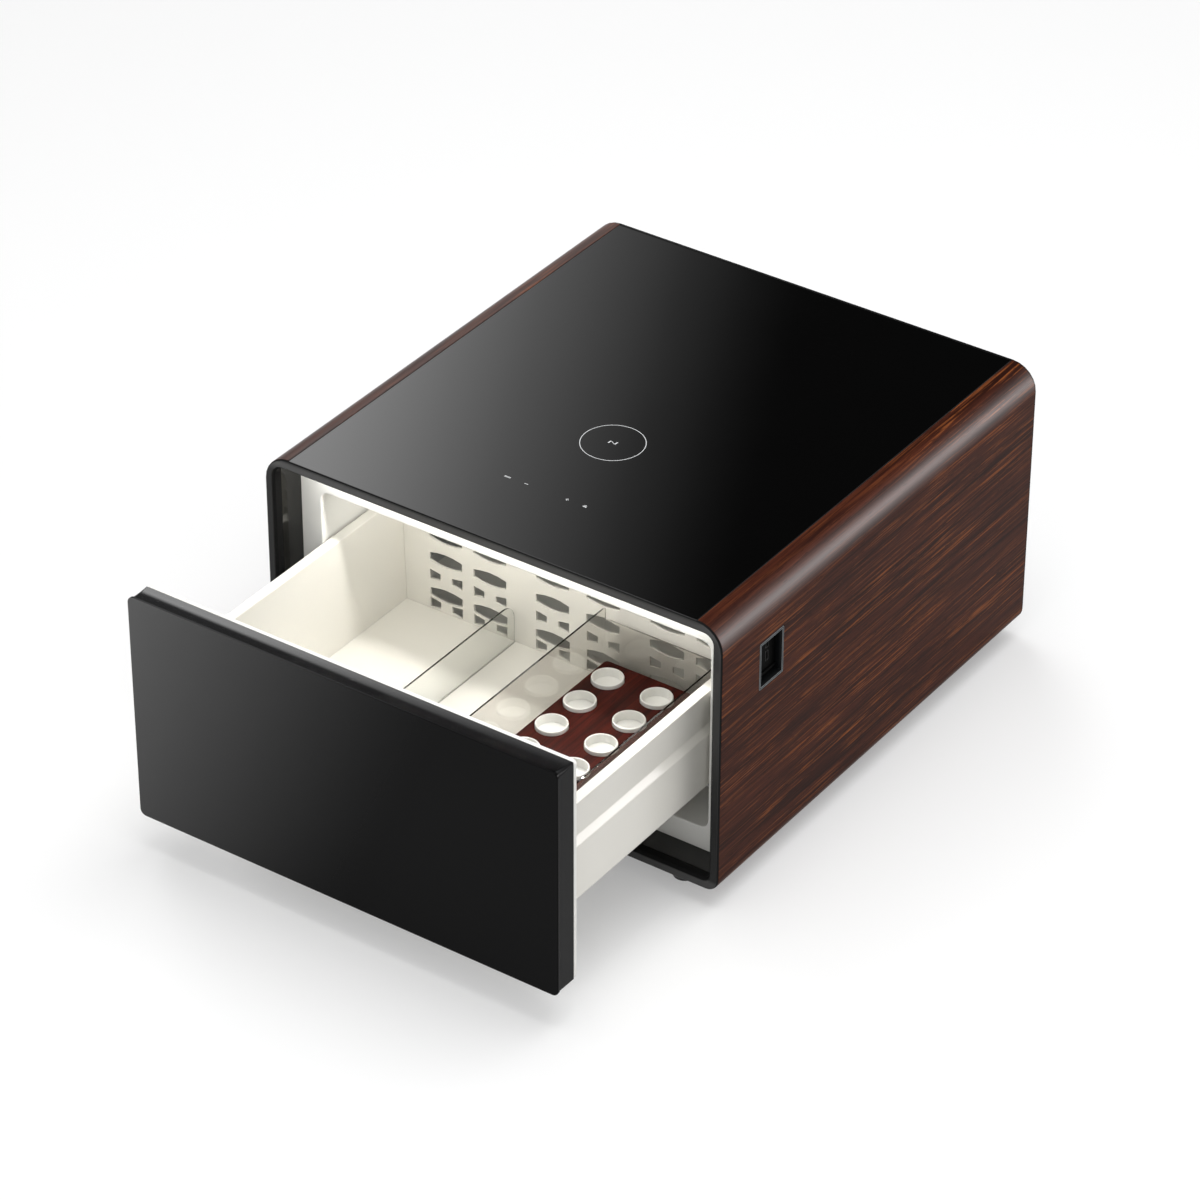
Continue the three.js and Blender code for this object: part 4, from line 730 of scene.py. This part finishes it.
white_shell = plain(
    "white_moulding", (0.84, 0.835, 0.8), 0.3, tint=0.03, spread=0.05, grain_scale=1100.0, bump=0.00003,
)
liner_outer = grown(cavity, liner_wall)
flange = grown(throat_rear, 0.001)
liner = skinned([
    *reversed(filleted(liner_outer, liner_fillet, cavity_rear + liner_wall)),
    (liner_outer, flange_front + liner_wall), (flange, flange_front + liner_wall), (flange, flange_front),
    *mouth(cavity, mouth_radius, flange_front),
    *filleted(cavity, liner_fillet, cavity_rear),
], False)
keep(liner, "cold_liner", white_shell, "white_shell", "inner_liner", angle=50.0)

foam = plain("rigid_foam", (0.8, 0.7, 0.46), 0.9, tint=0.25, spread=0.05, grain_scale=420.0, bump=0.0006)
dress(foam, "insulation", "drawer_core")


# Charging port
# A slate grey bevelled frame is pressed into the right wrap. Behind it sit two sockets, one above
# the other, with steel sleeves and gilt contacts, and a small ledge under them.
port_place = Matrix.Translation((half_wide, *port_middle)) @ Matrix.Rotation(pi / 2, 4, "Z")
port_slate = plain(
    "port_slate", (0.004, 0.0045, 0.005), 0.3, tint=0.08, spread=0.05, bump=0.00002, specular=0.08,
)
# The lines' lighter grey is a painted highlight along the frame's bevels
port_highlight_grey = plain("port_highlight_grey", (0.19, 0.21, 0.22), 0.38, tint=0.05, bump=0.0, specular=0.3)
socket_black = plain("socket_black", (0.002, 0.002, 0.002), 0.6, tint=0.05, bump=0.0, specular=0.03)
sleeve_steel = plain("sleeve_steel", (0.1, 0.1, 0.1), 0.5, tint=0.1, bump=0.0, Metallic=1.0)
contact_gilt = plain("contact_gilt", (0.75, 0.52, 0.2), 0.3, tint=0.05, bump=0.0, Metallic=1.0)
port_edge = (0.025, -0.032, 0.032, 0.002, 0.002)
rim_face = 0.00015


def put(shape, place):
    """Sets a shape in its place."""
    bmesh.ops.transform(shape, matrix=place, verts=shape.verts)
    return shape


port_rim = skinned(stations(
    port_edge, (0.0, 0.009), (0.0, 0.0005), (-0.0003, rim_face), (-0.0033, rim_face), (-0.005, 0.004),
    (-0.005, 0.009),
), True, 5)
put(ease(port_rim, 0.0003, 2, 30.0), port_place)
keep(port_rim, "port_surround", port_slate, "port_grey", "port_frame")
# Two beads follow the frame's outer and inner edges; their lighter grey is a painted highlight
for name, outside, inside in (("outer", -0.0002, -0.0009), ("inner", -0.0025, -0.0031)):
    bead = skinned(stations(
        port_edge, (outside, 0.0008), (outside, 0.0), (inside, 0.0), (inside, 0.0008),
    ), True, 5)
    keep(put(bead, port_place), f"port_line_{name}", port_highlight_grey, "port_grey", "port_frame")
eased("port_sockets", "socket_block", socket_black, "matte_black", 0.00015)

sleeve_outline = (0.0028, -0.0066, 0.0066, 0.0006, 0.0006)
sleeves = bmesh.new()
contacts = bmesh.new()
for middle in (0.016, -0.002):
    sleeve = skinned(stations(
        sleeve_outline, (0.0, 0.0092), (0.0, 0.02), (-0.0003, 0.02), (-0.0003, 0.0092),
    ), True, 3)
    bmesh.ops.translate(sleeve, verts=sleeve.verts, vec=(0.004, 0.0, middle))
    loose = bpy.data.meshes.new("sleeve")
    sleeve.to_mesh(loose)
    sleeve.free()
    sleeves.from_mesh(loose)
    for rise in (-0.0038, -0.0013, 0.0013, 0.0038):
        low, high = middle + rise - 0.0005, middle + rise + 0.0005
        slab((0.0026, 0.0108, low), (0.0031, 0.019, high), contacts)
keep(put(sleeves, port_place), "socket_sleeves", sleeve_steel, "zinc_steel")
keep(put(ease(contacts, 0.0001, 1), port_place), "socket_contacts", contact_gilt, "copper")


# Top deck, charger and touch board
# A black deck board closes the cabinet under the glass. The wireless charger's wound coil and the
# touch board are let into its upper face.
copper = plain(
    "bare_copper", (0.72, 0.33, 0.18), 0.28, tint=0.15, spread=0.15, grain_scale=700.0, Metallic=1.0,
)
circuit = plain("circuit_board", (0.02, 0.16, 0.07), 0.45, tint=0.2, grain_scale=500.0, bump=0.00006)
dress(matte_black, "top_deck")
dress(copper, "charging_coil")
dress(circuit, "touch_board")


# Top glass
# Tempered glass painted black underneath, let in flush, with ground edges. A fine ring marks the
# wireless charger and small lit symbols mark the touch keys.
glass_half = 0.29
glass_front = front + 0.0018
glass_rear = front + 0.6873
glass_low = base + 0.364
glass_top = base + 0.37 - 0.00004
print_low = glass_top - 0.0004
print_top = base + 0.37

# The paint under the glass is all but black, and the polished face has a faint film of smears
paint_black = 0.0008
top_black, top_tree, top_place = finish("top_black_glass", IOR=1.5)
smears = node_in(top_tree, "TexNoise", {"Vector": top_place, "Scale": 5.0, "Detail": 5.0})
film = smears.outputs["Fac"]
film_tone = range_in(top_tree, film, 0.0, 1.0, paint_black * 0.85, paint_black * 1.15)
film_gloss = range_in(top_tree, film, 0.35, 0.75, 0.035, 0.06)
feed(top_black, Base_Color=grey_in(top_tree, film_tone), Roughness=film_gloss)
top_plate = slab((-glass_half, glass_front, glass_low), (glass_half, glass_rear, glass_top))
rounded(top_plate, top_plate.edges[:], 0.0009, 3)
keep(top_plate, "top_glass_plate", top_black, "black_glass", "top_glass")

print_white = plain("printed_white", (0.62, 0.63, 0.64), 0.3, bump=0.0)
charger_middle = Vector((0.0, front + 0.255, 0.0))
ring_inner = 0.03905
ring_outer = 0.03995
ring_mark = turned(bmesh.new(), [
    (ring_inner, print_low), (ring_outer, print_low), (ring_outer, print_top), (ring_inner, print_top),
    (ring_inner, print_low),
], Matrix.Translation(charger_middle), 128)
keep(ring_mark, "charging_ring", print_white, "light")


def printed_line(shape, start, end, width):
    """A straight printed line between two points of the plan."""
    run = Vector(end) - Vector(start)
    middle = Vector((*(Vector(start) + Vector(end)) / 2, (print_low + print_top) / 2))
    size = Vector((run.length, width, print_top - print_low))
    turn = Matrix.Rotation(atan2(run.y, run.x), 3, "Z")
    bmesh.ops.create_cube(shape, size=1.0, matrix=Matrix.LocRotScale(middle, turn, size))


ring_bolt = bmesh.new()
bolt_points = [Vector(point) + charger_middle.xy for point in (
    (-0.0047, -0.0033), (-0.00405, 0.0023), (0.0036, -0.002), (0.0042, 0.004),
)]
for start, end, width in zip(bolt_points, bolt_points[1:], (0.0017, 0.0008, 0.0017)):
    printed_line(ring_bolt, start, end, width)
keep(ring_bolt, "charging_bolt", print_white, "light")
touch_marks = bmesh.new()
touch_depth = front + 0.1226
for across, shift, length, width in (
    (-0.0585, 0.0006, 0.009, 0.0008), (-0.0585, -0.0009, 0.009, 0.0008), (-0.0316, 0.0, 0.0052, 0.0011),
    (0.027, 0.0, 0.0042, 0.001), (0.0523, -0.001, 0.0052, 0.0017), (0.0523, 0.0014, 0.0034, 0.001),
):
    depth = touch_depth + shift
    printed_line(touch_marks, (across - length / 2, depth), (across + length / 2, depth), width)
printed_line(touch_marks, (0.027, touch_depth - 0.0021), (0.027, touch_depth + 0.0021), 0.001)
keep(touch_marks, "touch_marks", print_white, "light")


# Cold side
# A white duct cover hangs at the cavity's rear over the evaporator, a block of aluminium fins on
# a copper serpentine.
def serpentine(start, length, rows, pitch, radius):
    """A tube that runs across and back, with a bend at each end of a run."""
    shape = bmesh.new()
    level = Matrix.Translation(start) @ Matrix.Rotation(pi / 2, 4, "Y")
    bmesh.ops.create_circle(shape, cap_ends=False, radius=radius, segments=12, matrix=level)
    rim = shape.edges[:]
    height = start[2]
    heading = 1
    for row in range(rows):
        ends, rim = pulled(shape, rim)
        bmesh.ops.translate(shape, verts=ends, vec=(heading * length, 0.0, 0.0))
        if row < rows - 1:
            centre = (ends[0].co.x, start[1], height + pitch / 2)
            rim = bent(shape, [*ends, *rim], centre, -heading, pi, 8)
        height += pitch
        heading = -heading
    bmesh.ops.holes_fill(shape, edges=shape.edges)
    return shape


mill_aluminium = plain(
    "mill_aluminium", (0.72, 0.73, 0.74), 0.38, tint=0.12, spread=0.1, grain_scale=600.0, Metallic=1.0,
)
eased("air_duct_cover", "duct_cover", white_shell, "white_shell", 0.0006)
dress(mill_aluminium, "evaporator", "condenser")
cold_tube = serpentine((-0.186, cavity_rear - 0.0115, base + 0.096), 0.372, 5, 0.027, 0.0035)
keep(cold_tube, "evaporator_tube", copper, "copper")


# Machine bay
# Behind the foam a black enamelled compressor stands on rubber grommets, piped in copper to the
# condenser, with a fan behind it, a control box and a drip tray beside them.
bay_floor = base + 0.0093
bay_steel = plain(
    "bay_enamel", (0.015, 0.015, 0.016), 0.22, tint=0.1, spread=0.08, bump=0.00008, Coat_Weight=0.4,
)
can_place = Matrix.Translation((-0.15, front + 0.618, bay_floor))
can = turned(bmesh.new(), [
    (0.0, 0.011), (0.04, 0.011), (0.046, 0.0145), (0.0505, 0.0195), (0.052, 0.026), (0.052, 0.076),
    (0.0543, 0.0765), (0.055, 0.0775), (0.055, 0.0785), (0.0543, 0.0792), (0.052, 0.0795), (0.052, 0.122),
    (0.0505, 0.131), (0.0455, 0.1385), (0.037, 0.144), (0.0235, 0.148), (0.0, 0.148),
], can_place, 64)
keep(can, "compressor_can", bay_steel, "bay_steel", "compressor")
mount = slab((-0.07, -0.04, 0.006), (0.07, 0.04, 0.011))
rounded(mount, [e for e in mount.edges if abs(e.verts[0].co.z - e.verts[1].co.z) > 0.004], 0.008, 6)
keep(ease(put(mount, can_place), 0.0008), "compressor_mount", bay_steel, "bay_steel", "compressor")
grommets = bmesh.new()
for across in (-0.0617, 0.0617):
    for deep in (-0.0317, 0.0317):
        turned(grommets, [
            (0.0, 0.0), (0.0078, 0.0), (0.008, 0.0003), (0.008, 0.0022), (0.0066, 0.003), (0.008, 0.0038),
            (0.008, 0.006), (0.0, 0.006),
        ], can_place @ Matrix.Translation((across, deep, 0.0)), 24)
keep(grommets, "compressor_grommets", sole_rubber, "matte_black", "compressor")
hot_tube = serpentine((-0.006, front + 0.596, base + 0.025), 0.132, 5, 0.028, 0.004)
keep(hot_tube, "condenser_tube", copper, "copper")
dress(copper, "refrigerant_pipe")
eased("fan_frame", "fan_housing", matte_black, "matte_black", 0.0006)
eased("fan_rotor", "fan_wheel", gloss_black, "matte_black", 0.0003, 1, 70.0, body="fan", angle=28.0)
eased("control_box", "wiring_box", matte_black, "matte_black", 0.0015, 3, 30.0)
eased("drip_tray", "water_tray", matte_black, "matte_black", 0.0006)


# Rear cover, screws and inlet
# A pressed steel cover in fine black texture paint closes the machine bay. Four cross-head screws
# hold it to the rear frame's ledge, and the mains inlet is snapped into it.
texture_paint = plain(
    "black_texture_paint", (0.02, 0.02, 0.021), 0.55, tint=0.1, spread=0.1, grain_scale=700.0,
    bump=0.0003,
)
eased("rear_cover", "back_cover", texture_paint, "matte_black", 0.0004)
zinc_steel = plain(
    "zinc_steel", (0.6, 0.61, 0.62), 0.34, tint=0.1, spread=0.12, grain_scale=500.0, bump=0.00002,
    Metallic=1.0,
)
screw_seat = front + 0.6868
screw_tip = -0.0075
head_face = 0.0022
recess_arm = 0.0021
recess_half = 0.00045
recess_floor = 0.0011
recess_taper = 0.8


def cross_head_screw(across, height):
    """A pan head screw with a cross recess, pointing forward."""
    shape = turned(bmesh.new(), [
        (0.0, screw_tip), (0.0014, screw_tip), (0.002, screw_tip + 0.0008), (0.002, 0.0), (0.0037, 0.0),
        (0.004, 0.0003), (0.004, 0.001), (0.0036, 0.0017), (0.0028, head_face),
    ], steps=32)
    rim = [e for e in shape.edges if e.is_boundary and e.verts[0].co.z > 0.002]
    corners = [(recess_arm, -recess_half), (recess_arm, recess_half), (recess_half, recess_half)]
    turns = [Matrix.Rotation(turn * pi / 2, 3, "Z") for turn in range(4)]
    cross = [shape.verts.new(turn @ Vector((*corner, head_face))) for turn in turns for corner in corners]
    recess = shape.faces.new(cross)
    outline = list(recess.edges)
    bmesh.ops.delete(shape, geom=[recess], context="FACES_ONLY")
    bmesh.ops.bridge_loops(shape, edges=rim + outline)
    for vert in pulled(shape, outline)[0]:
        vert.co = (vert.co.x * recess_taper, vert.co.y * recess_taper, recess_floor)
    bmesh.ops.holes_fill(shape, edges=shape.edges)
    aim = Matrix.Translation((across, screw_seat, height)) @ Matrix.Rotation(-pi / 2, 4, "X")
    return put(shape, aim)


screw_spots = [(x, z) for x in (-0.301, 0.301) for z in (base + 0.05456, base + 0.31144)]
for index, (across, height) in enumerate(screw_spots, 1):
    screw = cross_head_screw(across, height)
    keep(screw, f"cross_screw_{index}", zinc_steel, "zinc_steel", f"cover_screw_{index}", angle=30.0)
eased("power_inlet", "mains_inlet", gloss_black, "matte_black", 0.0003)
inlet_face = front + 0.6892
pin_half = (0.00108, 0.0055, 0.00208)
inlet_pins = bmesh.new()
for across, rise in ((-0.007, -0.002), (0.0, 0.002), (0.007, -0.002)):
    middle = Vector((0.232 + across, inlet_face - 0.0093, base + 0.15 + rise))
    slab(middle - Vector(pin_half), middle + Vector(pin_half), inlet_pins)
keep(ease(inlet_pins, 0.0003), "inlet_pins", zinc_steel, "zinc_steel")


# Runners
# Three nested zinc-plated steel channels on each side, rolled to shape. The outer member is fixed
# to the cavity wall, the middle one travels half way and the inner one carries the basket.
for node, member, body in (
    ("runner_cabinet", "outer_runner", "cabinet"), ("runner_middle", "middle_runner", None),
    ("runner_drawer", "inner_runner", "drawer"),
):
    for side in ("left", "right"):
        rides_on = body or f"middle_runner_{side}"
        eased(f"{node}_{side}", f"{member}_{side}", zinc_steel, "zinc_steel", 0.0005, 3, body=rides_on)


# Drawer front
# A plate of black glass is bonded to a concave frame moulding. Behind it a foam core, a white
# liner and a soft magnetic seal close the cold cavity.
face = (0.3015, base + 0.023, base + 0.333, 0.0085, 0.0085)
frame_back = (0.3, base + 0.027, base + 0.329, 0.0015, 0.0015)
frame_front_depth = drawn + 0.0043
frame_rear_depth = drawn + 0.033
frame_hollow = 0.001
frame_steps = 12

# The glass's black carries a painted reflection, a lighter grey at its upper left that fades towards the
# right and the foot
front_black = painted_reflection_finish("front_black_glass", (0.0014, 0.0014, 0.0016), 0.05, {
    "Left": -face[0], "Reach": 0.452, "Top": face[2], "Slant": 0.45, "Level": 0.117, "Face": drawn,
}, specular=0.06)
plate = skinned([(face, drawn), (face, drawn + 0.004)], False, 12)
ease(plate, 0.001, 4, 60.0, lambda middle: middle.y < drawn + 0.001)
ease(plate, 0.0003, 1, 60.0, lambda middle: middle.y > drawn + 0.003)
keep(plate, "drawer_glass_plate", front_black, "black_glass", "drawer_glass", angle=50.0, body="drawer")

frame_inner = (0.288, base + 0.039, base + 0.317, 0.0085, 0.0085)
frame_ends = ((*frame_back, frame_rear_depth), (*grown(face, -0.0012), frame_front_depth))
sweep = []
for step in range(frame_steps + 1):
    share = step / frame_steps
    half, low, high, *radii, depth = [a + (b - a) * share for a, b in zip(*frame_ends)]
    high -= 4 * frame_hollow * share * (1 - share)
    sweep.append(((half, low, high, *radii), depth))
frame_black = plain(
    "frame_black", (0.005, 0.005, 0.0055), 0.3, tint=0.05, bump=0.0, specular=0.06, Coat_Roughness=0.07,
)
frame_tree = frame_black.node_tree
feed(frame_black, Coat_Weight=range_in(frame_tree, spot_in(frame_tree)["X"], 0.295, 0.2985, 1.0, 0.0))
moulding = skinned([*sweep, (frame_inner, frame_front_depth), (frame_inner, frame_rear_depth)], True, 8)
ease(moulding, 0.0005, 3, 60.0, lambda middle: abs(middle.x) > 0.29 or not 0.045 < middle.z - base < 0.312)
keep(moulding, "front_moulding", frame_black, "dark_frame", "drawer_frame", angle=25.0, body="drawer")

liner_outline = (*frame_back[:3], 0.005, 0.005)
door_liner = skinned([(liner_outline, drawn + 0.0333), (liner_outline, drawn + 0.039)], False, 8)
ease(door_liner, 0.0012, 3, 60.0)
keep(door_liner, "front_liner", white_shell, "white_shell", "drawer_liner", body="drawer")

seal_outer = (0.291, base + 0.0333, base + 0.316, 0.012, 0.012)
seal_inner = grown(seal_outer, -0.0095)
seal_front = drawn + 0.0393
seal_depth = 0.0084
folds = [
    (0.0, 0.0), (0.0, 0.0018), (0.0016, 0.003), (0.002, 0.0042), (0.0016, 0.0054), (0.0, 0.0066),
    (0.0, seal_depth),
]
outer_folds = stations(seal_outer, *[(-inward, seal_front + deep) for inward, deep in folds])
inner_folds = stations(seal_inner, *[(inward, seal_front + deep) for inward, deep in reversed(folds)])
seal_rubber = plain("seal_rubber", (0.66, 0.66, 0.64), 0.6, tint=0.04, grain_scale=1600.0, bump=0.00008)
gasket = skinned([*outer_folds, *inner_folds], True, 8)
keep(gasket, "magnetic_seal", seal_rubber, "seal", "drawer_seal", angle=50.0, body="drawer")


# Basket
# Four warm white mouldings clip together: two hollow sides that hide the runners under a ledge, a
# floor with a groove, and a slotted back for the cold air.
warm_white = plain(
    "warm_white_moulding", (0.83, 0.81, 0.75), 0.26, tint=0.03, spread=0.05, grain_scale=1200.0,
    bump=0.00003, specular=0.3,
)
for side in ("left", "right"):
    wall = merged_copy(f"basket_side_{side}")
    ease(wall, 0.0011, 3, 20.0, lambda middle: abs(middle.y - drawn - 0.25) < 0.205)
    keep(wall, f"side_moulding_{side}", warm_white, "warm_white", f"basket_side_{side}", body="drawer")
eased("basket_floor", "floor_moulding", warm_white, "warm_white", 0.0004, body="drawer")
eased("basket_back", "back_moulding", warm_white, "warm_white", 0.0004, body="drawer")


# Bottle divider and fruit tray
# Both are clear moulded acrylic. The divider stands in the floor's groove, and the tray is a bin
# with thin walls and a lower rear edge, lifted out by its rim.
clear_acrylic = {
    "tint": 0.02, "spread": 0.02, "bump": None, "IOR": 1.2, "Transmission_Weight": 1.0, "Coat_Weight": 0.5,
    "Coat_Roughness": 0.03,
}
divider_clear = plain("divider_acrylic", (0.86, 0.87, 0.86), 0.03, **clear_acrylic)
tray_clear = plain("tray_acrylic", (0.8, 0.79, 0.77), 0.03, **clear_acrylic)
eased("bottle_divider", "clear_divider", divider_clear, "clear_plastic", 0.0011, 4, 40.0, body="divider")
eased("fruit_tray", "clear_tray", tray_clear, "clear_plastic", 0.0011, 4, 50.0, body="tray")


# Fruit insert
# A white moulded plate with ring cups stands in the tray. A dark red-brown board with round holes
# lies over the plate, so that only the cups' rims stand out of it.
insert_across = 0.1355
insert_depth = drawn + 0.2515
insert_outline = (0.084, -0.2022, 0.2022, 0.0055, 0.0055)
cup_radius = 0.02
cup_bore = cup_radius - 0.0024
plate_low = base + 0.0921
plate_high = base + 0.119
board_low = base + 0.1193
board_high = base + 0.1263
cup_spots = [
    (insert_across - 0.0237 + across, insert_depth - 0.1758 + row * 0.0575)
    for row in range(7) for across in (-0.03525, 0.03525)
]
lying = Matrix.Translation((insert_across, insert_depth, 0.0)) @ Matrix.Rotation(-pi / 2, 4, "X")
insert_plate = skinned(stations(
    insert_outline, (-0.002, 0.002 - plate_high), (-0.002, -plate_low), (0.0, -plate_low),
    (0.0, -plate_high),
), False, 5)
ease(put(insert_plate, lying), 0.0005, 2, 60.0)
keep(insert_plate, "insert_plate", white_shell, "white_shell", "cup_plate", body="fruit_insert")
cups = bmesh.new()
for across, deep in cup_spots:
    turned(cups, [
        (cup_bore, 0.1192), (cup_radius, 0.1192), (cup_radius, 0.1302), (cup_radius - 0.0003, 0.1307),
        (cup_radius - 0.0008, 0.131), (cup_bore + 0.0008, 0.131), (cup_bore + 0.0002, 0.1306),
        (cup_bore, 0.13), (cup_bore, 0.1192),
    ], Matrix.Translation((across, deep, base)), 48)
keep(cups, "ring_cups", white_shell, "white_shell", "cup_plate", body="fruit_insert")

board_veneer = veneered(
    "board_veneer", (0.021, 0.004, 0.003), (0.069, 0.01, 0.006), (0.15, 0.024, 0.012), specular=0.1,
)
board = bmesh.new()
rim_points = outline_points(insert_outline, -board_low, 6)
rim_cap = board.faces.new([board.verts.new(point) for point in rim_points])
bmesh.ops.delete(board, geom=[rim_cap], context="FACES_ONLY")
put(board, lying)
for across, deep in cup_spots:
    spot = Matrix.Translation((across, deep, board_low))
    bmesh.ops.create_circle(board, cap_ends=False, radius=cup_radius + 0.0006, segments=48, matrix=spot)
bmesh.ops.triangle_fill(board, use_beauty=True, use_dissolve=False, edges=board.edges)
raised = bmesh.ops.extrude_face_region(board, geom=board.faces[:])["geom"]
for vert in verts_in(raised):
    vert.co.z = board_high
closed_up(board)
ease(board, 0.0006, 2, 60.0, lambda middle: middle.z > board_high - 0.0001)
keep(board, "cup_board", board_veneer, "dark_board", "tray_board", body="fruit_insert")
